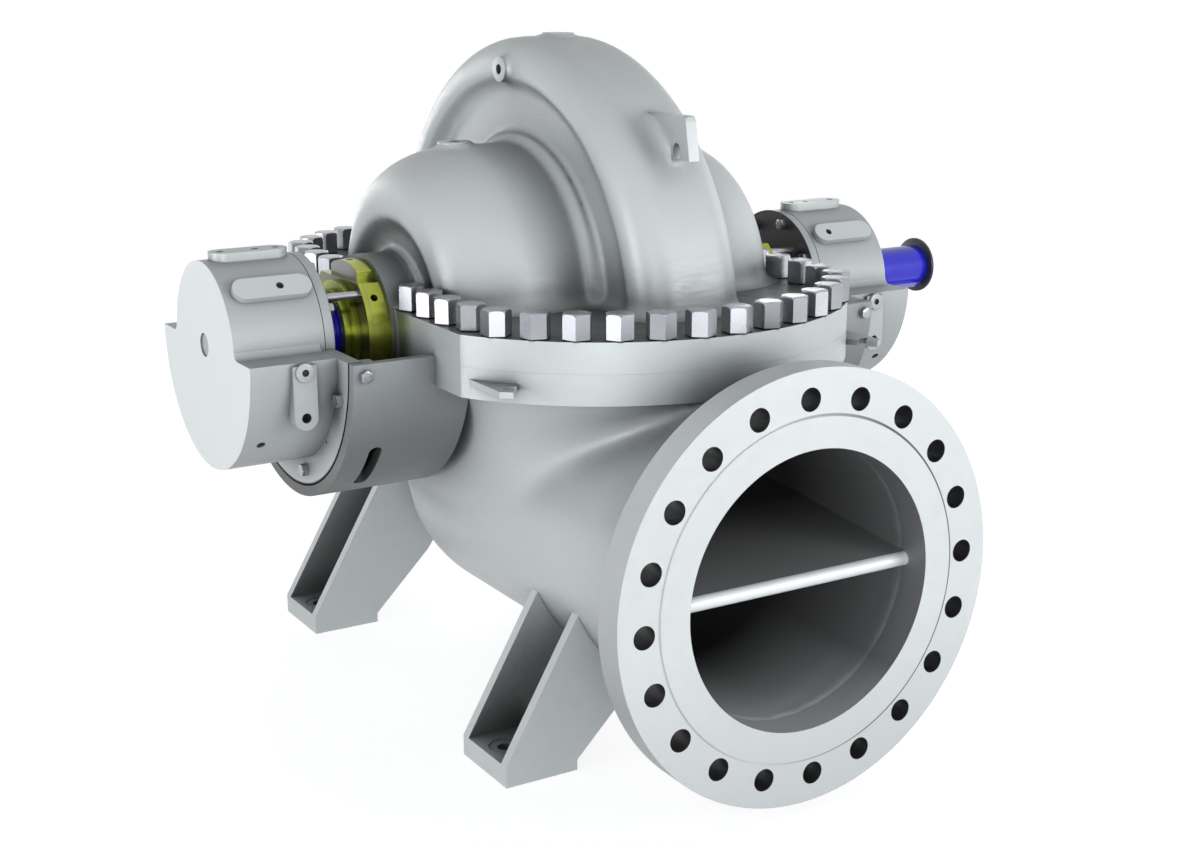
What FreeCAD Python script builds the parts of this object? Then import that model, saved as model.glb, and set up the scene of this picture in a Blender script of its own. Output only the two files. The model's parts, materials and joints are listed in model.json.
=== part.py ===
import FreeCAD, Part
import math
import os
import Sketcher
from FreeCAD import Placement, Rotation, Vector

# Horizontal split case pump, millimetres.
# The shaft lies along X with its free drive end at +X, the suction flange faces -Y,
# the discharge flange faces +Y, and the four feet stand on z = 0.

DIMENSIONS = {
    # Casing, split at shaft height
    "shaft_height": 750,
    "split_flange_half": 55.5,
    "split_flange_reach": 420,
    "split_arc_radius": 476,
    "split_arc_offset": 176,
    "split_corner_round": 16,
    "casing_wall": 27,
    # Volute, eccentric to the shaft towards the discharge side
    "volute_offset_x": 22,
    "volute_offset_y": 43,
    "volute_radius": 534,
    "volute_half_width": 112,
    "volute_round": 64,
    "shoulder_radius": 460,
    "shoulder_round": 16,
    "shoulder_fall": 50,
    # Ring round the volute's flanks, and the suction chambers that stand on the split flange
    "ring_offset_y": 30,
    "ring_radius": 430,
    "ring_half_width": 86,
    "ring_round": 14,
    "ring_foot_half_width": 104,
    "chamber_offset_y": -3,
    "chamber_lift": 43,
    "chamber_radius": 291,
    "chamber_reach": 364,
    "chamber_round_length": 159,
    "chamber_round_depth": 89,
    # Necks that hold the shaft seals, each in a dish with a bead round its foot
    "neck_radius": 140,
    "neck_reach": 425,
    "dish_radius": 195,
    "bead_reach": 335,
    "bead_radius": 146,
    "bead_round": 9,
    # Bosses and lifting lugs on the upper casing
    "top_boss_radius": 31,
    "top_boss_height": 541,
    "top_boss_y": 20,
    "flank_boss_radius": 25,
    "flank_boss_height": 472,
    "flank_boss_rise": 10,
    "boss_hole_radius": 10,
    "chamber_boss_x": 222,
    "chamber_boss_radius": 33,
    "chamber_boss_rise": 8,
    "lug_x": 20,
    "lug_thick": 22,
    "lug_top": 409,
    "lug_depth": 79,
    "lug_reach": 476,
    "lug_outer_reach": 490,
    "lug_notch_reach": 449,
    "lug_notch_radius": 11,
    "lug_notch_depth": 30,
    # Hooked ears on the lower half of the split flange
    "ear_top": -21,
    "ear_thick": 11,
    "ear_tip_x": 411,
    "ear_tip_y": 417,
    "ear_outer_y": 525,
    "ear_corner_x": 393,
    "ear_corner_y": 541,
    "ear_root_x": 357,
    "ear_root_y": 491,
    "ear_notch_radius": 8,
    # Suction branch
    "branch_height": 400,
    "suction_reach": 861,
    "suction_flange_radius": 386,
    "suction_flange_thick": 58,
    "suction_face_radius": 306,
    "suction_bore": 249,
    "suction_bolt_circle": 335,
    "suction_holes": 20,
    "suction_hole_radius": 20.5,
    "suction_hole_turn": 2.4,
    "suction_neck_radius": 290,
    "suction_neck_end": 600,
    "suction_body_radius": 276,
    "suction_body_end": 78,
    "suction_passage_end": 450,
    "splitter_nose_depth": 45,
    "splitter_half_thick": 13,
    "splitter_rise": 0.105,
    # Bowl under the split flange
    "bowl_half_length": 405,
    "bowl_half_depth": 648,
    "bowl_bottom": 250,
    # Discharge branch
    "discharge_height": 420,
    "discharge_reach": 800,
    "discharge_flange_radius": 290,
    "discharge_flange_thick": 46,
    "discharge_face_radius": 232,
    "discharge_bore": 175,
    "discharge_bolt_circle": 255,
    "discharge_holes": 16,
    "discharge_hole_radius": 18,
    "discharge_hole_turn": 11.25,
    "discharge_neck_radius": 205,
    "raised_face": 3,
    # Feet
    "foot_inner": 259,
    "foot_outer": 406,
    "foot_near": 354,
    "foot_far": 520,
    "foot_pad_thick": 40,
    "foot_plate": 20,
    "foot_top": 400,
    "foot_throat": 248,
    "foot_slope": 0.577,
    "foot_bolt_x": 364,
    "foot_hole_radius": 14,
    "foot_spotface_radius": 30,
    "foot_spotface_depth": 2,
    # Bearing brackets
    "bracket_radius": 304,
    "bracket_wall": 20,
    "bracket_reach": 577,
    "bracket_web": 70,
    "slot_reach": 517.5,
    "slot_width": 25,
    "slot_start": 33,
    "slot_end": 57,
    # Bearing housings
    "housing_reach": 738,
    "housing_inner": 547,
    "housing_radius": 154,
    "housing_sump_radius": 231,
    "housing_flange_thick": 26,
    "housing_gap": 3,
    "seam_reach": 565,
    "seam_width": 1.5,
    "ledge_round": 14,
    "dimple_radius": 22,
    "dimple_depth": 3,
    "pad_inner": 573,
    "pad_outer": 721,
    "top_pad_half_width": 28,
    "top_pad_height": 168,
    "side_pad_half_width": 22,
    "side_pad_height": 167,
    "pad_hole_radius": 7,
    "pad_hole_depth": 12,
    "side_pad_hole_left": 633,
    "side_pad_hole_right": 607,
    "lug_strip_reach": 641,
    "lug_strip_half_width": 22,
    "lug_strip_y": 239,
    "lug_strip_top": 5,
    "lug_strip_bottom": 99,
    "lug_strip_hole": 9,
    "drain_reach": 703,
    "drain_turn": 42,
    "drain_radius": 8,
    "drain_depth": 30,
    # Shaft and seals
    "shaft_radius": 45,
    "shaft_reach": 955,
    "journal_radius": 50,
    "shaft_middle_radius": 55,
    "shaft_middle_reach": 500,
    "running_gap": 0.05,
    "open_gap": 6,
    "end_disc_radius": 61,
    "end_disc_thick": 12,
    "seal_plate_radius": 132,
    "seal_plate_thick": 45,
    "seal_lobe_half_width": 60,
    "seal_lobe_foot": 100,
    "seal_lobe_recess": 10,
    "seal_port_radius": 7,
    "seal_port_depth": 25,
    "seal_port_turn": -35,
    "gland_radius": 96,
    "gland_thick": 25,
    "gland_step_radius": 80,
    "key_width": 25,
    "key_depth": 9,
    "key_proud": 5,
    "key_gap": 77,
    "key_end": 10,
    "key_turn": 35,
}

doc = FreeCAD.newDocument("split_case_pump")
sheet = doc.addObject("Spreadsheet::Sheet", "Sizes")
for row, (alias, value) in enumerate(DIMENSIONS.items(), start=1):
    sheet.set("A%d" % row, alias)
    sheet.set("B%d" % row, str(value))
    sheet.setAlias("B%d" % row, alias)
doc.recompute()


class Size:
    """A length with its present value and the sheet formula that gives it."""

    def __init__(self, value, formula=None):
        self.value = float(value)
        self.formula = formula or repr(float(value))

    def combine(self, sign, other, value):
        return Size(value, "(%s %s %s)" % (self.formula, sign, other.formula))

    def __add__(self, other):
        other = as_size(other)
        return self.combine("+", other, self.value + other.value)

    def __sub__(self, other):
        other = as_size(other)
        return self.combine("-", other, self.value - other.value)

    def __mul__(self, other):
        other = as_size(other)
        return self.combine("*", other, self.value * other.value)

    def __truediv__(self, other):
        other = as_size(other)
        return self.combine("/", other, self.value / other.value)

    def __neg__(self):
        return Size(-self.value, "(0 - %s)" % self.formula)

    def __radd__(self, other):
        return as_size(other) + self

    def __rsub__(self, other):
        return as_size(other) - self


def as_size(length):
    return length if isinstance(length, Size) else Size(length)


class Sheet:
    """The sizes of the sheet by name, for formulas."""

    def __getattr__(self, alias):
        return Size(sheet.get(alias), "Sizes." + alias)


S = Sheet()
TURNS = {
    "x": Rotation(Vector(0, 1, 0), 90),
    "y": Rotation(Vector(1, 0, 0), -90),
    "z": Rotation(),
}
EVERYWHERE = 4000
pieces = {}


def place(item, corner, turn=Rotation()):
    item.Placement = Placement(Vector(*(as_size(c).value for c in corner)), turn)
    for axis, length in zip("xyz", corner):
        item.setExpression("Placement.Base." + axis, as_size(length).formula)
    return item


def block(name, x, y, z):
    """A box between two values on each axis."""
    item = doc.addObject("Part::Box", name)
    for side, (low, high) in zip(("Length", "Width", "Height"), (x, y, z)):
        item.setExpression(side, (as_size(high) - low).formula)
    return place(item, (x[0], y[0], z[0]))


def rod(name, axis, radius, span, centre):
    """A cylinder along an axis; centre holds its other two coordinates."""
    item = doc.addObject("Part::Cylinder", name)
    item.setExpression("Radius", as_size(radius).formula)
    item.setExpression("Height", (as_size(span[1]) - span[0]).formula)
    corner = list(centre)
    corner.insert("xyz".index(axis), span[0])
    return place(item, corner, TURNS[axis])


def join(name, *items):
    item = doc.addObject("Part::MultiFuse", name)
    item.Shapes = list(items)
    return item


def cut(name, base, *tools):
    for number, tool in enumerate(tools):
        item = doc.addObject("Part::Cut", name if number == len(tools) - 1 else name + "_cut")
        item.Base = base
        item.Tool = tool
        base = item
    return base


def overlap(name, *items):
    item = doc.addObject("Part::MultiCommon", name)
    item.Shapes = list(items)
    return item


def feature(name, shape):
    item = doc.addObject("Part::Feature", name)
    item.Shape = shape
    return item


def piece(item, label):
    item.Label = label
    pieces[label] = item
    return item


def span(side, near, far):
    """The stretch from near to far on one side of the mid plane."""
    return (as_size(near), as_size(far)) if side > 0 else (-as_size(far), -as_size(near))


# Sketches and PartDesign bodies

def body_plane(body, role):
    return next(f for f in body.Origin.OriginFeatures if f.Role == role)


def new_body(name, corner, turn=Rotation()):
    return place(doc.addObject("PartDesign::Body", name), corner, turn)


def new_sketch(body, name, role="XY_Plane", height=0):
    sketch = body.newObject("Sketcher::SketchObject", name)
    sketch.AttachmentSupport = (body_plane(body, role), [""])
    sketch.MapMode = "FlatFace"
    sketch.setExpression("AttachmentOffset.Base.z", as_size(height).formula)
    return sketch


def constrain(sketch, kind, length, *where):
    """A dimension of a sketch, bound to its formula."""
    length = as_size(length)
    index = sketch.addConstraint(Sketcher.Constraint(kind, *where, length.value))
    sketch.setExpression("Constraints[%d]" % index, length.formula)


def pin_point(sketch, geometry, end, x, y):
    for kind, length in (("DistanceX", x), ("DistanceY", y)):
        constrain(sketch, kind, length, -1, 1, geometry, end)


def draw_circle(sketch, radius, x=0, y=0):
    centre = Vector(as_size(x).value, as_size(y).value, 0)
    circle = Part.Circle(centre, Vector(0, 0, 1), as_size(radius).value)
    index = sketch.addGeometry(circle)
    constrain(sketch, "Radius", radius, index)
    if x == 0 and y == 0:
        sketch.addConstraint(Sketcher.Constraint("Coincident", index, 3, -1, 1))
    else:
        pin_point(sketch, index, 3, x, y)


def draw_outline(sketch, corners):
    """A closed outline of straight lines through corners given as formulas."""
    points = [Vector(as_size(x).value, as_size(y).value, 0) for x, y in corners]
    count = len(points)
    for number, point in enumerate(points):
        sketch.addGeometry(Part.LineSegment(point, points[(number + 1) % count]))
    for number, (x, y) in enumerate(corners):
        follower = (number + 1) % count
        sketch.addConstraint(Sketcher.Constraint("Coincident", number, 2, follower, 1))
        pin_point(sketch, number, 1, x, y)


def draw_obround(sketch, start, end, half_width):
    """A closed outline along x with round ends about two centres on the x axis."""
    start, end, half_width = as_size(start), as_size(end), as_size(half_width)
    low, high, reach = start.value, end.value, half_width.value
    sketch.addGeometry(Part.ArcOfCircle(
        Part.Circle(Vector(low, 0, 0), Vector(0, 0, 1), reach), math.pi / 2, 3 * math.pi / 2
    ))
    sketch.addGeometry(Part.ArcOfCircle(
        Part.Circle(Vector(high, 0, 0), Vector(0, 0, 1), reach), -math.pi / 2, math.pi / 2
    ))
    sketch.addGeometry(Part.LineSegment(Vector(low, -reach, 0), Vector(high, -reach, 0)))
    sketch.addGeometry(Part.LineSegment(Vector(high, reach, 0), Vector(low, reach, 0)))
    for arc, arc_end, line, line_end in ((0, 2, 2, 1), (1, 1, 2, 2), (1, 2, 3, 1), (0, 1, 3, 2)):
        sketch.addConstraint(Sketcher.Constraint("Coincident", arc, arc_end, line, line_end))
    for arc, centre in ((0, start), (1, end)):
        constrain(sketch, "DistanceX", centre, -1, 1, arc, 3)
    corners = [(start, -half_width), (end, -half_width), (end, half_width), (start, half_width)]
    for number, (x, y) in enumerate(corners):
        pin_point(sketch, 2 + number // 2, 1 + number % 2, x, y)


def pad(body, sketch, name, length, reverse=False):
    item = body.newObject("PartDesign::Pad", name)
    item.Profile = sketch
    item.setExpression("Length", as_size(length).formula)
    item.Reversed = reverse
    return item


def pocket_through(body, sketch, name, reverse=False):
    item = body.newObject("PartDesign::Pocket", name)
    item.Profile = sketch
    item.Type = 1
    item.Reversed = reverse
    return item


def pocket(body, sketch, name, depth):
    item = body.newObject("PartDesign::Pocket", name)
    item.Profile = sketch
    item.setExpression("Length", as_size(depth).formula)
    return item


def polar(body, base, sketch, name, count):
    item = body.newObject("PartDesign::PolarPattern", name)
    item.Originals = [base]
    item.Axis = (sketch, ["N_Axis"])
    item.Angle = 360
    item.setExpression("Occurrences", as_size(count).formula)
    body.Tip = item
    return item


# Castings, made from the sheet's present values

v = {alias: float(sheet.get(alias)) for alias in DIMENSIONS}
split = v["shaft_height"]
half_flange = v["split_flange_half"]
ALONG_X = Vector(1, 0, 0)
ALONG_Y = Vector(0, 1, 0)
ALONG_Z = Vector(0, 0, 1)


def rounded_profile(corners):
    """A closed face in the XZ plane whose corners (x, z, radius) are rounded by arcs."""
    ends = []
    for number, (x, z, radius) in enumerate(corners):
        here = Vector(x, 0, z)
        before = Vector(corners[number - 1][0], 0, corners[number - 1][1])
        after_corner = corners[(number + 1) % len(corners)]
        after = Vector(after_corner[0], 0, after_corner[1])
        back = (before - here).normalize()
        forth = (after - here).normalize()
        if radius == 0:
            ends.append((here, None, here))
            continue
        half = back.getAngle(forth) / 2
        run = radius / math.tan(half)
        middle = (back + forth).normalize()
        crest = here + middle * (radius / math.sin(half) - radius)
        ends.append((here + back * run, crest, here + forth * run))
    edges = []
    for number, (start, crest, end) in enumerate(ends):
        if crest is not None:
            edges.append(Part.Arc(start, crest, end).toShape())
        following = ends[(number + 1) % len(ends)][0]
        if (following - end).Length > 1e-6:
            edges.append(Part.LineSegment(end, following).toShape())
    return Part.Face(Part.Wire(edges))


def half_turned(face, axis_height, centre_y, side):
    """Half a turned solid about an axis along X: side 1 above the axis, -1 below it."""
    face.rotate(Vector(0, 0, axis_height), ALONG_X, -90 * side)
    solid = face.revolve(Vector(0, 0, axis_height), ALONG_X, 180)
    solid.translate(Vector(0, centre_y, 0))
    return solid


def prism(points, depth):
    """A flat outline through points, pushed out by a vector."""
    return Part.Face(Part.makePolygon(points + points[:1])).extrude(depth)


def half_space(low, high):
    corner = Vector(-EVERYWHERE, -EVERYWHERE, low)
    return Part.makeBox(2 * EVERYWHERE, 2 * EVERYWHERE, high - low, corner)


def mirrored_profile(right):
    """Corners of a profile about the volute's middle plane, from those on its right."""
    centre = v["volute_offset_x"]
    corners = [(centre + x, split + r, radius) for x, r, radius in right]
    corners += [(centre - x, split + r, radius) for x, r, radius in reversed(right)]
    return rounded_profile(corners)


def volute_solid(side):
    foot = v["ring_radius"] - v["shoulder_round"]
    inside = foot - 2 * v["volute_offset_y"]
    narrow = v["volute_half_width"] - v["shoulder_fall"]
    face = mirrored_profile([
        (v["volute_half_width"], v["volute_radius"], v["volute_round"]),
        (v["volute_half_width"], v["shoulder_radius"], v["shoulder_round"]),
        (narrow, foot, 0),
        (narrow, inside, 0),
    ])
    return half_turned(face, split, v["volute_offset_y"], side)


def ring_solid():
    face = mirrored_profile([
        (v["ring_half_width"], v["ring_radius"], v["ring_round"]),
        (v["ring_foot_half_width"], v["chamber_radius"], 0),
        (v["ring_foot_half_width"], 0, 0),
    ])
    return half_turned(face, split, v["ring_offset_y"], 1)


def chamber_solid(hand):
    """A suction chamber with an oval, dished end, turned about an axis above the split."""
    axis = split + v["chamber_lift"]
    radius = v["chamber_radius"]
    flat = v["chamber_reach"] - v["chamber_round_length"]
    low = radius - v["chamber_round_depth"]
    end = Part.BezierCurve()
    end.setPoles([Vector(hand * flat, 0, axis + radius),
                  Vector(hand * v["chamber_reach"], 0, axis + radius),
                  Vector(hand * v["chamber_reach"], 0, axis + low)])
    end.setWeight(2, math.sqrt(0.5))
    reach = hand * v["chamber_reach"]
    points = [Vector(reach, 0, axis + low), Vector(reach, 0, axis), Vector(0, 0, axis),
              Vector(0, 0, axis + radius), Vector(hand * flat, 0, axis + radius)]
    edges = [Part.LineSegment(a, b).toShape() for a, b in zip(points, points[1:])]
    face = Part.Face(Part.Wire(edges + [end.toShape()]))
    solid = half_turned(face, axis, v["chamber_offset_y"], 1)
    return solid.cut(Part.makeCone(
        v["bead_radius"], v["dish_radius"], v["chamber_reach"] - v["bead_reach"],
        Vector(hand * v["bead_reach"], 0, split), ALONG_X * hand,
    ))


def neck_solid():
    reach = v["neck_reach"]
    neck = Part.makeCylinder(v["neck_radius"], 2 * reach, Vector(-reach, 0, split), ALONG_X)
    beads = [
        Part.makeTorus(
            v["bead_radius"], v["bead_round"], Vector(side * v["bead_reach"], 0, split), ALONG_X
        )
        for side in (-1, 1)
    ]
    return neck.fuse(beads)


def shaft_bore_solid():
    reach = v["neck_reach"] + 1
    radius = v["shaft_middle_radius"] + v["open_gap"]
    return Part.makeCylinder(radius, 2 * reach, Vector(-reach, 0, split), ALONG_X)


def split_flange_solid(low, high):
    """One half of the split flange: flat ends, bowed front and back."""
    reach = v["split_flange_reach"]
    offset = v["split_arc_offset"]
    depth = high - low
    outline = Part.makeBox(2 * reach, 2 * offset, depth, Vector(-reach, -offset, low))
    bows = [
        Part.makeCylinder(v["split_arc_radius"], depth, Vector(0, side * offset, low))
        for side in (-1, 1)
    ]
    ends = Part.makeBox(2 * reach, 2 * EVERYWHERE, depth, Vector(-reach, -EVERYWHERE, low))
    slab = outline.fuse(bows).common(ends).removeSplitter()
    corners = [
        edge for edge in slab.Edges
        if len(edge.Vertexes) == 2
        and abs(edge.Vertexes[0].Z - edge.Vertexes[1].Z) > depth / 2
        and abs(abs(edge.Vertexes[0].X) - reach) < 0.01
    ]
    return slab.makeFillet(v["split_corner_round"], corners)


def lug_solids():
    """A lifting lug on the front of the volute and its mirror image at the back."""
    axis = v["volute_offset_y"]
    top = split + v["lug_top"]
    bottom = top - v["lug_depth"]
    lugs = []
    for side in (-1, 1):
        outline = [(v["lug_reach"], top), (v["lug_outer_reach"], bottom),
                   (v["ring_radius"], bottom), (v["chamber_radius"], top)]
        middle = axis + side * v["lug_notch_reach"]
        crest = bottom + v["lug_notch_depth"] - v["lug_notch_radius"]
        plate = prism([Vector(v["lug_x"], axis + side * y, z) for y, z in outline],
                      ALONG_X * v["lug_thick"])
        slot = Part.makeBox(
            v["lug_thick"], 2 * v["lug_notch_radius"], crest - bottom,
            Vector(v["lug_x"], middle - v["lug_notch_radius"], bottom),
        )
        eye = Part.makeCylinder(
            v["lug_notch_radius"], v["lug_thick"], Vector(v["lug_x"], middle, crest), ALONG_X
        )
        lugs.append(plate.cut([slot, eye]))
    return lugs


def boss_solids():
    """Bosses of the upper casing, and the holes drilled into them."""
    root = v["casing_wall"]
    flank = v["volute_half_width"] - v["volute_offset_x"]
    rise = v["flank_boss_rise"]
    hole = v["boss_hole_radius"]
    chamber_top = split + v["chamber_lift"] + v["chamber_radius"]
    top = split + v["top_boss_height"]
    crown = Vector(v["volute_offset_x"], v["top_boss_y"], top - 2 * root)
    face = Vector(-flank - rise, v["volute_offset_y"], split + v["flank_boss_height"])
    bosses = [
        Part.makeCylinder(v["top_boss_radius"], 2 * root, crown),
        Part.makeCylinder(v["flank_boss_radius"], root + rise, face, ALONG_X),
    ]
    holes = [Part.makeCylinder(hole, root + rise, face, ALONG_X)]
    for side in (-1, 1):
        foot = Vector(side * v["chamber_boss_x"], v["chamber_offset_y"], chamber_top - root)
        bosses.append(Part.makeCylinder(
            v["chamber_boss_radius"], root + v["chamber_boss_rise"], foot
        ))
        holes.append(Part.makeCylinder(hole, 2 * root, foot + ALONG_Z * hole))
    return bosses, holes


def ear_solids():
    """Hooked ears at the four corners of the lower split flange, notched for a sling."""
    low = split + v["ear_top"] - v["ear_thick"]
    lift = ALONG_Z * v["ear_thick"]
    radius = v["ear_notch_radius"]
    inward = v["casing_wall"]
    ears = []
    for side in (-1, 1):
        for face in (-1, 1):
            corner = Vector(side * v["ear_corner_x"], face * v["ear_corner_y"], low)
            root = Vector(side * v["ear_root_x"], face * v["ear_root_y"], low)
            plate = prism([
                Vector(side * v["ear_tip_x"], face * v["ear_tip_y"], low),
                Vector(side * v["ear_tip_x"], face * v["ear_outer_y"], low),
                corner,
                root,
                root - Vector(0, face * inward, 0),
                Vector(side * (v["ear_tip_x"] - inward), face * (v["ear_tip_y"] - inward), low),
            ], lift)
            along = (root - corner).normalize()
            outward = Vector(along.y, -along.x, 0) * (side * face)
            middle = (root + corner) * 0.5
            eye = Part.makeCylinder(radius, v["ear_thick"], middle - outward * (2 * radius))
            slot = prism([
                middle + along * radius + outward * radius,
                middle - along * radius + outward * radius,
                middle - along * radius - outward * (2 * radius),
                middle + along * radius - outward * (2 * radius),
            ], lift)
            ears.append(plate.cut([eye, slot]))
    return ears


# Branches

# The bowl's ovals: share of its depth downwards, of its half length and of its half depth
BOWL_OVALS = [
    (-0.06, 1.005, 1.003), (0, 1, 1), (0.21, 0.906, 0.88), (0.44, 0.827, 0.807),
    (0.66, 0.741, 0.664), (1, 0.494, 0.463),
]
# The discharge side's ovals: share of the way out, rise, half width and half height in radii
DISCHARGE_OVALS = [
    (0.33, 0.25, 0.72, 1.2), (0.6, 0.14, 0.86, 1.14), (0.86, 0.03, 0.98, 1.03), (1, 0, 1, 1),
]
DISCHARGE_PASSAGE_OVALS = [
    (0.45, 0.25, 0.66, 0.88), (0.65, 0.12, 0.84, 0.95), (0.83, 0.03, 0.96, 0.99), (1, 0, 1, 1),
]


def oval(centre, first, second):
    """An ellipse as four quarter arcs that start at the end of its first half axis."""
    edges = []
    axes = [first, second]
    for quarter in range(4):
        start, end = axes
        arc = Part.BezierCurve()
        arc.setPoles([centre + start, centre + start + end, centre + end])
        arc.setWeight(2, math.sqrt(0.5))
        edges.append(arc.toShape())
        axes = [end, start * -1]
    return Part.Wire(edges)


def branch_solid(ovals, radius, end):
    """The discharge branch or its passage, from its ovals, its radius and where it ends."""
    height = v["discharge_height"]
    wires = [
        oval(Vector(0, end * out, height + radius * rise),
             ALONG_X * (radius * across), ALONG_Z * (radius * up))
        for out, rise, across, up in ovals
    ]
    return Part.makeLoft(wires, True, False)


def bowl_solid():
    """The bowl that carries the split flange, through ovals that shrink downwards."""
    top = split - half_flange
    depth = top - v["bowl_bottom"]
    ovals = [
        oval(Vector(0, 0, top - depth * down),
             ALONG_X * (v["bowl_half_length"] * across), ALONG_Y * (v["bowl_half_depth"] * deep))
        for down, across, deep in BOWL_OVALS
    ]
    return Part.makeLoft(ovals, True, False)


def capsule_solid(front, taper_end, back, mouth_radius, radius):
    """A tube along Y with a round back end, about the suction branch axis."""
    height = v["branch_height"]
    far = back + radius
    round_end = Part.Arc(
        Vector(0, back, height + radius),
        Vector(0, back + radius * math.sin(math.pi / 4), height + radius * math.cos(math.pi / 4)),
        Vector(0, far, height),
    )
    points = [
        Vector(0, far, height), Vector(0, front, height), Vector(0, front, height + mouth_radius),
        Vector(0, taper_end, height + radius), Vector(0, back, height + radius),
    ]
    edges = [Part.LineSegment(a, b).toShape() for a, b in zip(points, points[1:])]
    face = Part.Face(Part.Wire(edges + [round_end.toShape()]))
    return face.revolve(Vector(0, 0, height), ALONG_Y, 360)


def suction_back():
    return -v["suction_reach"] + v["suction_flange_thick"] + v["raised_face"]


def discharge_back():
    return v["discharge_reach"] - v["discharge_flange_thick"] - v["raised_face"]


def suction_branch_solid():
    return capsule_solid(suction_back(), -v["suction_neck_end"], v["suction_body_end"],
                         v["suction_neck_radius"], v["suction_body_radius"])


def suction_passage_solid():
    bore = v["suction_bore"]
    return capsule_solid(suction_back() - 1, -v["suction_neck_end"], -v["suction_passage_end"],
                         bore, bore)


def discharge_branch_solid():
    return branch_solid(DISCHARGE_OVALS, v["discharge_neck_radius"], discharge_back())


def discharge_passage_solid():
    return branch_solid(DISCHARGE_PASSAGE_OVALS, v["discharge_bore"], discharge_back() + 1)


# Upper and lower casing

neck_shape = neck_solid()
bore_shape = shaft_bore_solid()
above = half_space(split, EVERYWHERE)
below = half_space(0, split)

boss_shapes, boss_holes = boss_solids()
upper_shape = volute_solid(1).fuse(
    [ring_solid(), chamber_solid(-1), chamber_solid(1), neck_shape.common(above)]
    + [split_flange_solid(split, split + half_flange)] + lug_solids() + boss_shapes
)
upper_shape = upper_shape.cut(boss_holes + [bore_shape])
upper_casing = piece(feature("upper_casing", upper_shape.removeSplitter()), "upper_casing")

outline_shape = suction_branch_solid().fuse(
    [bowl_solid(), discharge_branch_solid(), volute_solid(-1)]
)
outline_shape = outline_shape.common(below).fuse(
    [split_flange_solid(split - half_flange, split), neck_shape.common(below)] + ear_solids()
)
casing_outline = feature("casing_outline", outline_shape)
lower_shape = outline_shape.cut([suction_passage_solid(), discharge_passage_solid(), bore_shape])
lower_casing = piece(feature("lower_casing", lower_shape.removeSplitter()), "lower_casing")

# Branch flanges: a ring with a raised face and a circle of bolt holes

def branch_flange(label, prefix, side):
    radius = getattr(S, prefix + "_flange_radius")
    thick = getattr(S, prefix + "_flange_thick")
    bore = getattr(S, prefix + "_bore")
    height = S.branch_height if side < 0 else S.discharge_height
    back = getattr(S, prefix + "_reach") - thick - S.raised_face
    turn = Rotation(ALONG_X, -90 * side) * Rotation(ALONG_Z, v[prefix + "_hole_turn"])
    body = new_body(label, (0, back if side > 0 else -back, height), turn)
    ring = new_sketch(body, label + "_ring")
    draw_circle(ring, radius)
    draw_circle(ring, bore)
    pad(body, ring, label + "_plate", thick)
    face = new_sketch(body, label + "_face", height=thick)
    draw_circle(face, getattr(S, prefix + "_face_radius"))
    draw_circle(face, bore)
    pad(body, face, label + "_raised", S.raised_face)
    hole = new_sketch(body, label + "_hole")
    draw_circle(hole, getattr(S, prefix + "_hole_radius"), 0, getattr(S, prefix + "_bolt_circle"))
    drilled = pocket_through(body, hole, label + "_drilled", reverse=True)
    polar(body, drilled, ring, label + "_circle", getattr(S, prefix + "_holes"))
    return piece(body, label)


suction_flange = branch_flange("suction_flange", "suction", -1)
discharge_flange = branch_flange("discharge_flange", "discharge", 1)

# Splitter across the suction bore: a wedge behind a round nose

nose_y = S.suction_reach - S.splitter_nose_depth - S.splitter_half_thick
wedge_end = S.suction_passage_end - S.suction_bore
wedge_half = S.splitter_half_thick + (nose_y - wedge_end) * S.splitter_rise
wedge_body = new_body("splitter_wedge", (-S.suction_bore, 0, S.branch_height))
wedge_outline = new_sketch(wedge_body, "splitter_wedge_outline", "YZ_Plane")
draw_outline(wedge_outline, [
    (-nose_y, -S.splitter_half_thick), (-wedge_end, -wedge_half),
    (-wedge_end, wedge_half), (-nose_y, S.splitter_half_thick),
])
pad(wedge_body, wedge_outline, "splitter_wedge_pad", S.suction_bore * 2)
splitter_nose = rod(
    "splitter_nose", "x", S.splitter_half_thick, (-S.suction_bore, S.suction_bore),
    (-nose_y, S.branch_height),
)
splitter_bar = join("splitter_bar", wedge_body, splitter_nose)
doc.recompute()
suction_splitter = piece(
    cut("suction_splitter", splitter_bar, lower_casing, suction_flange), "suction_splitter"
)

# Feet: a drilled pad under two sloping side plates that run up to the casing

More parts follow.
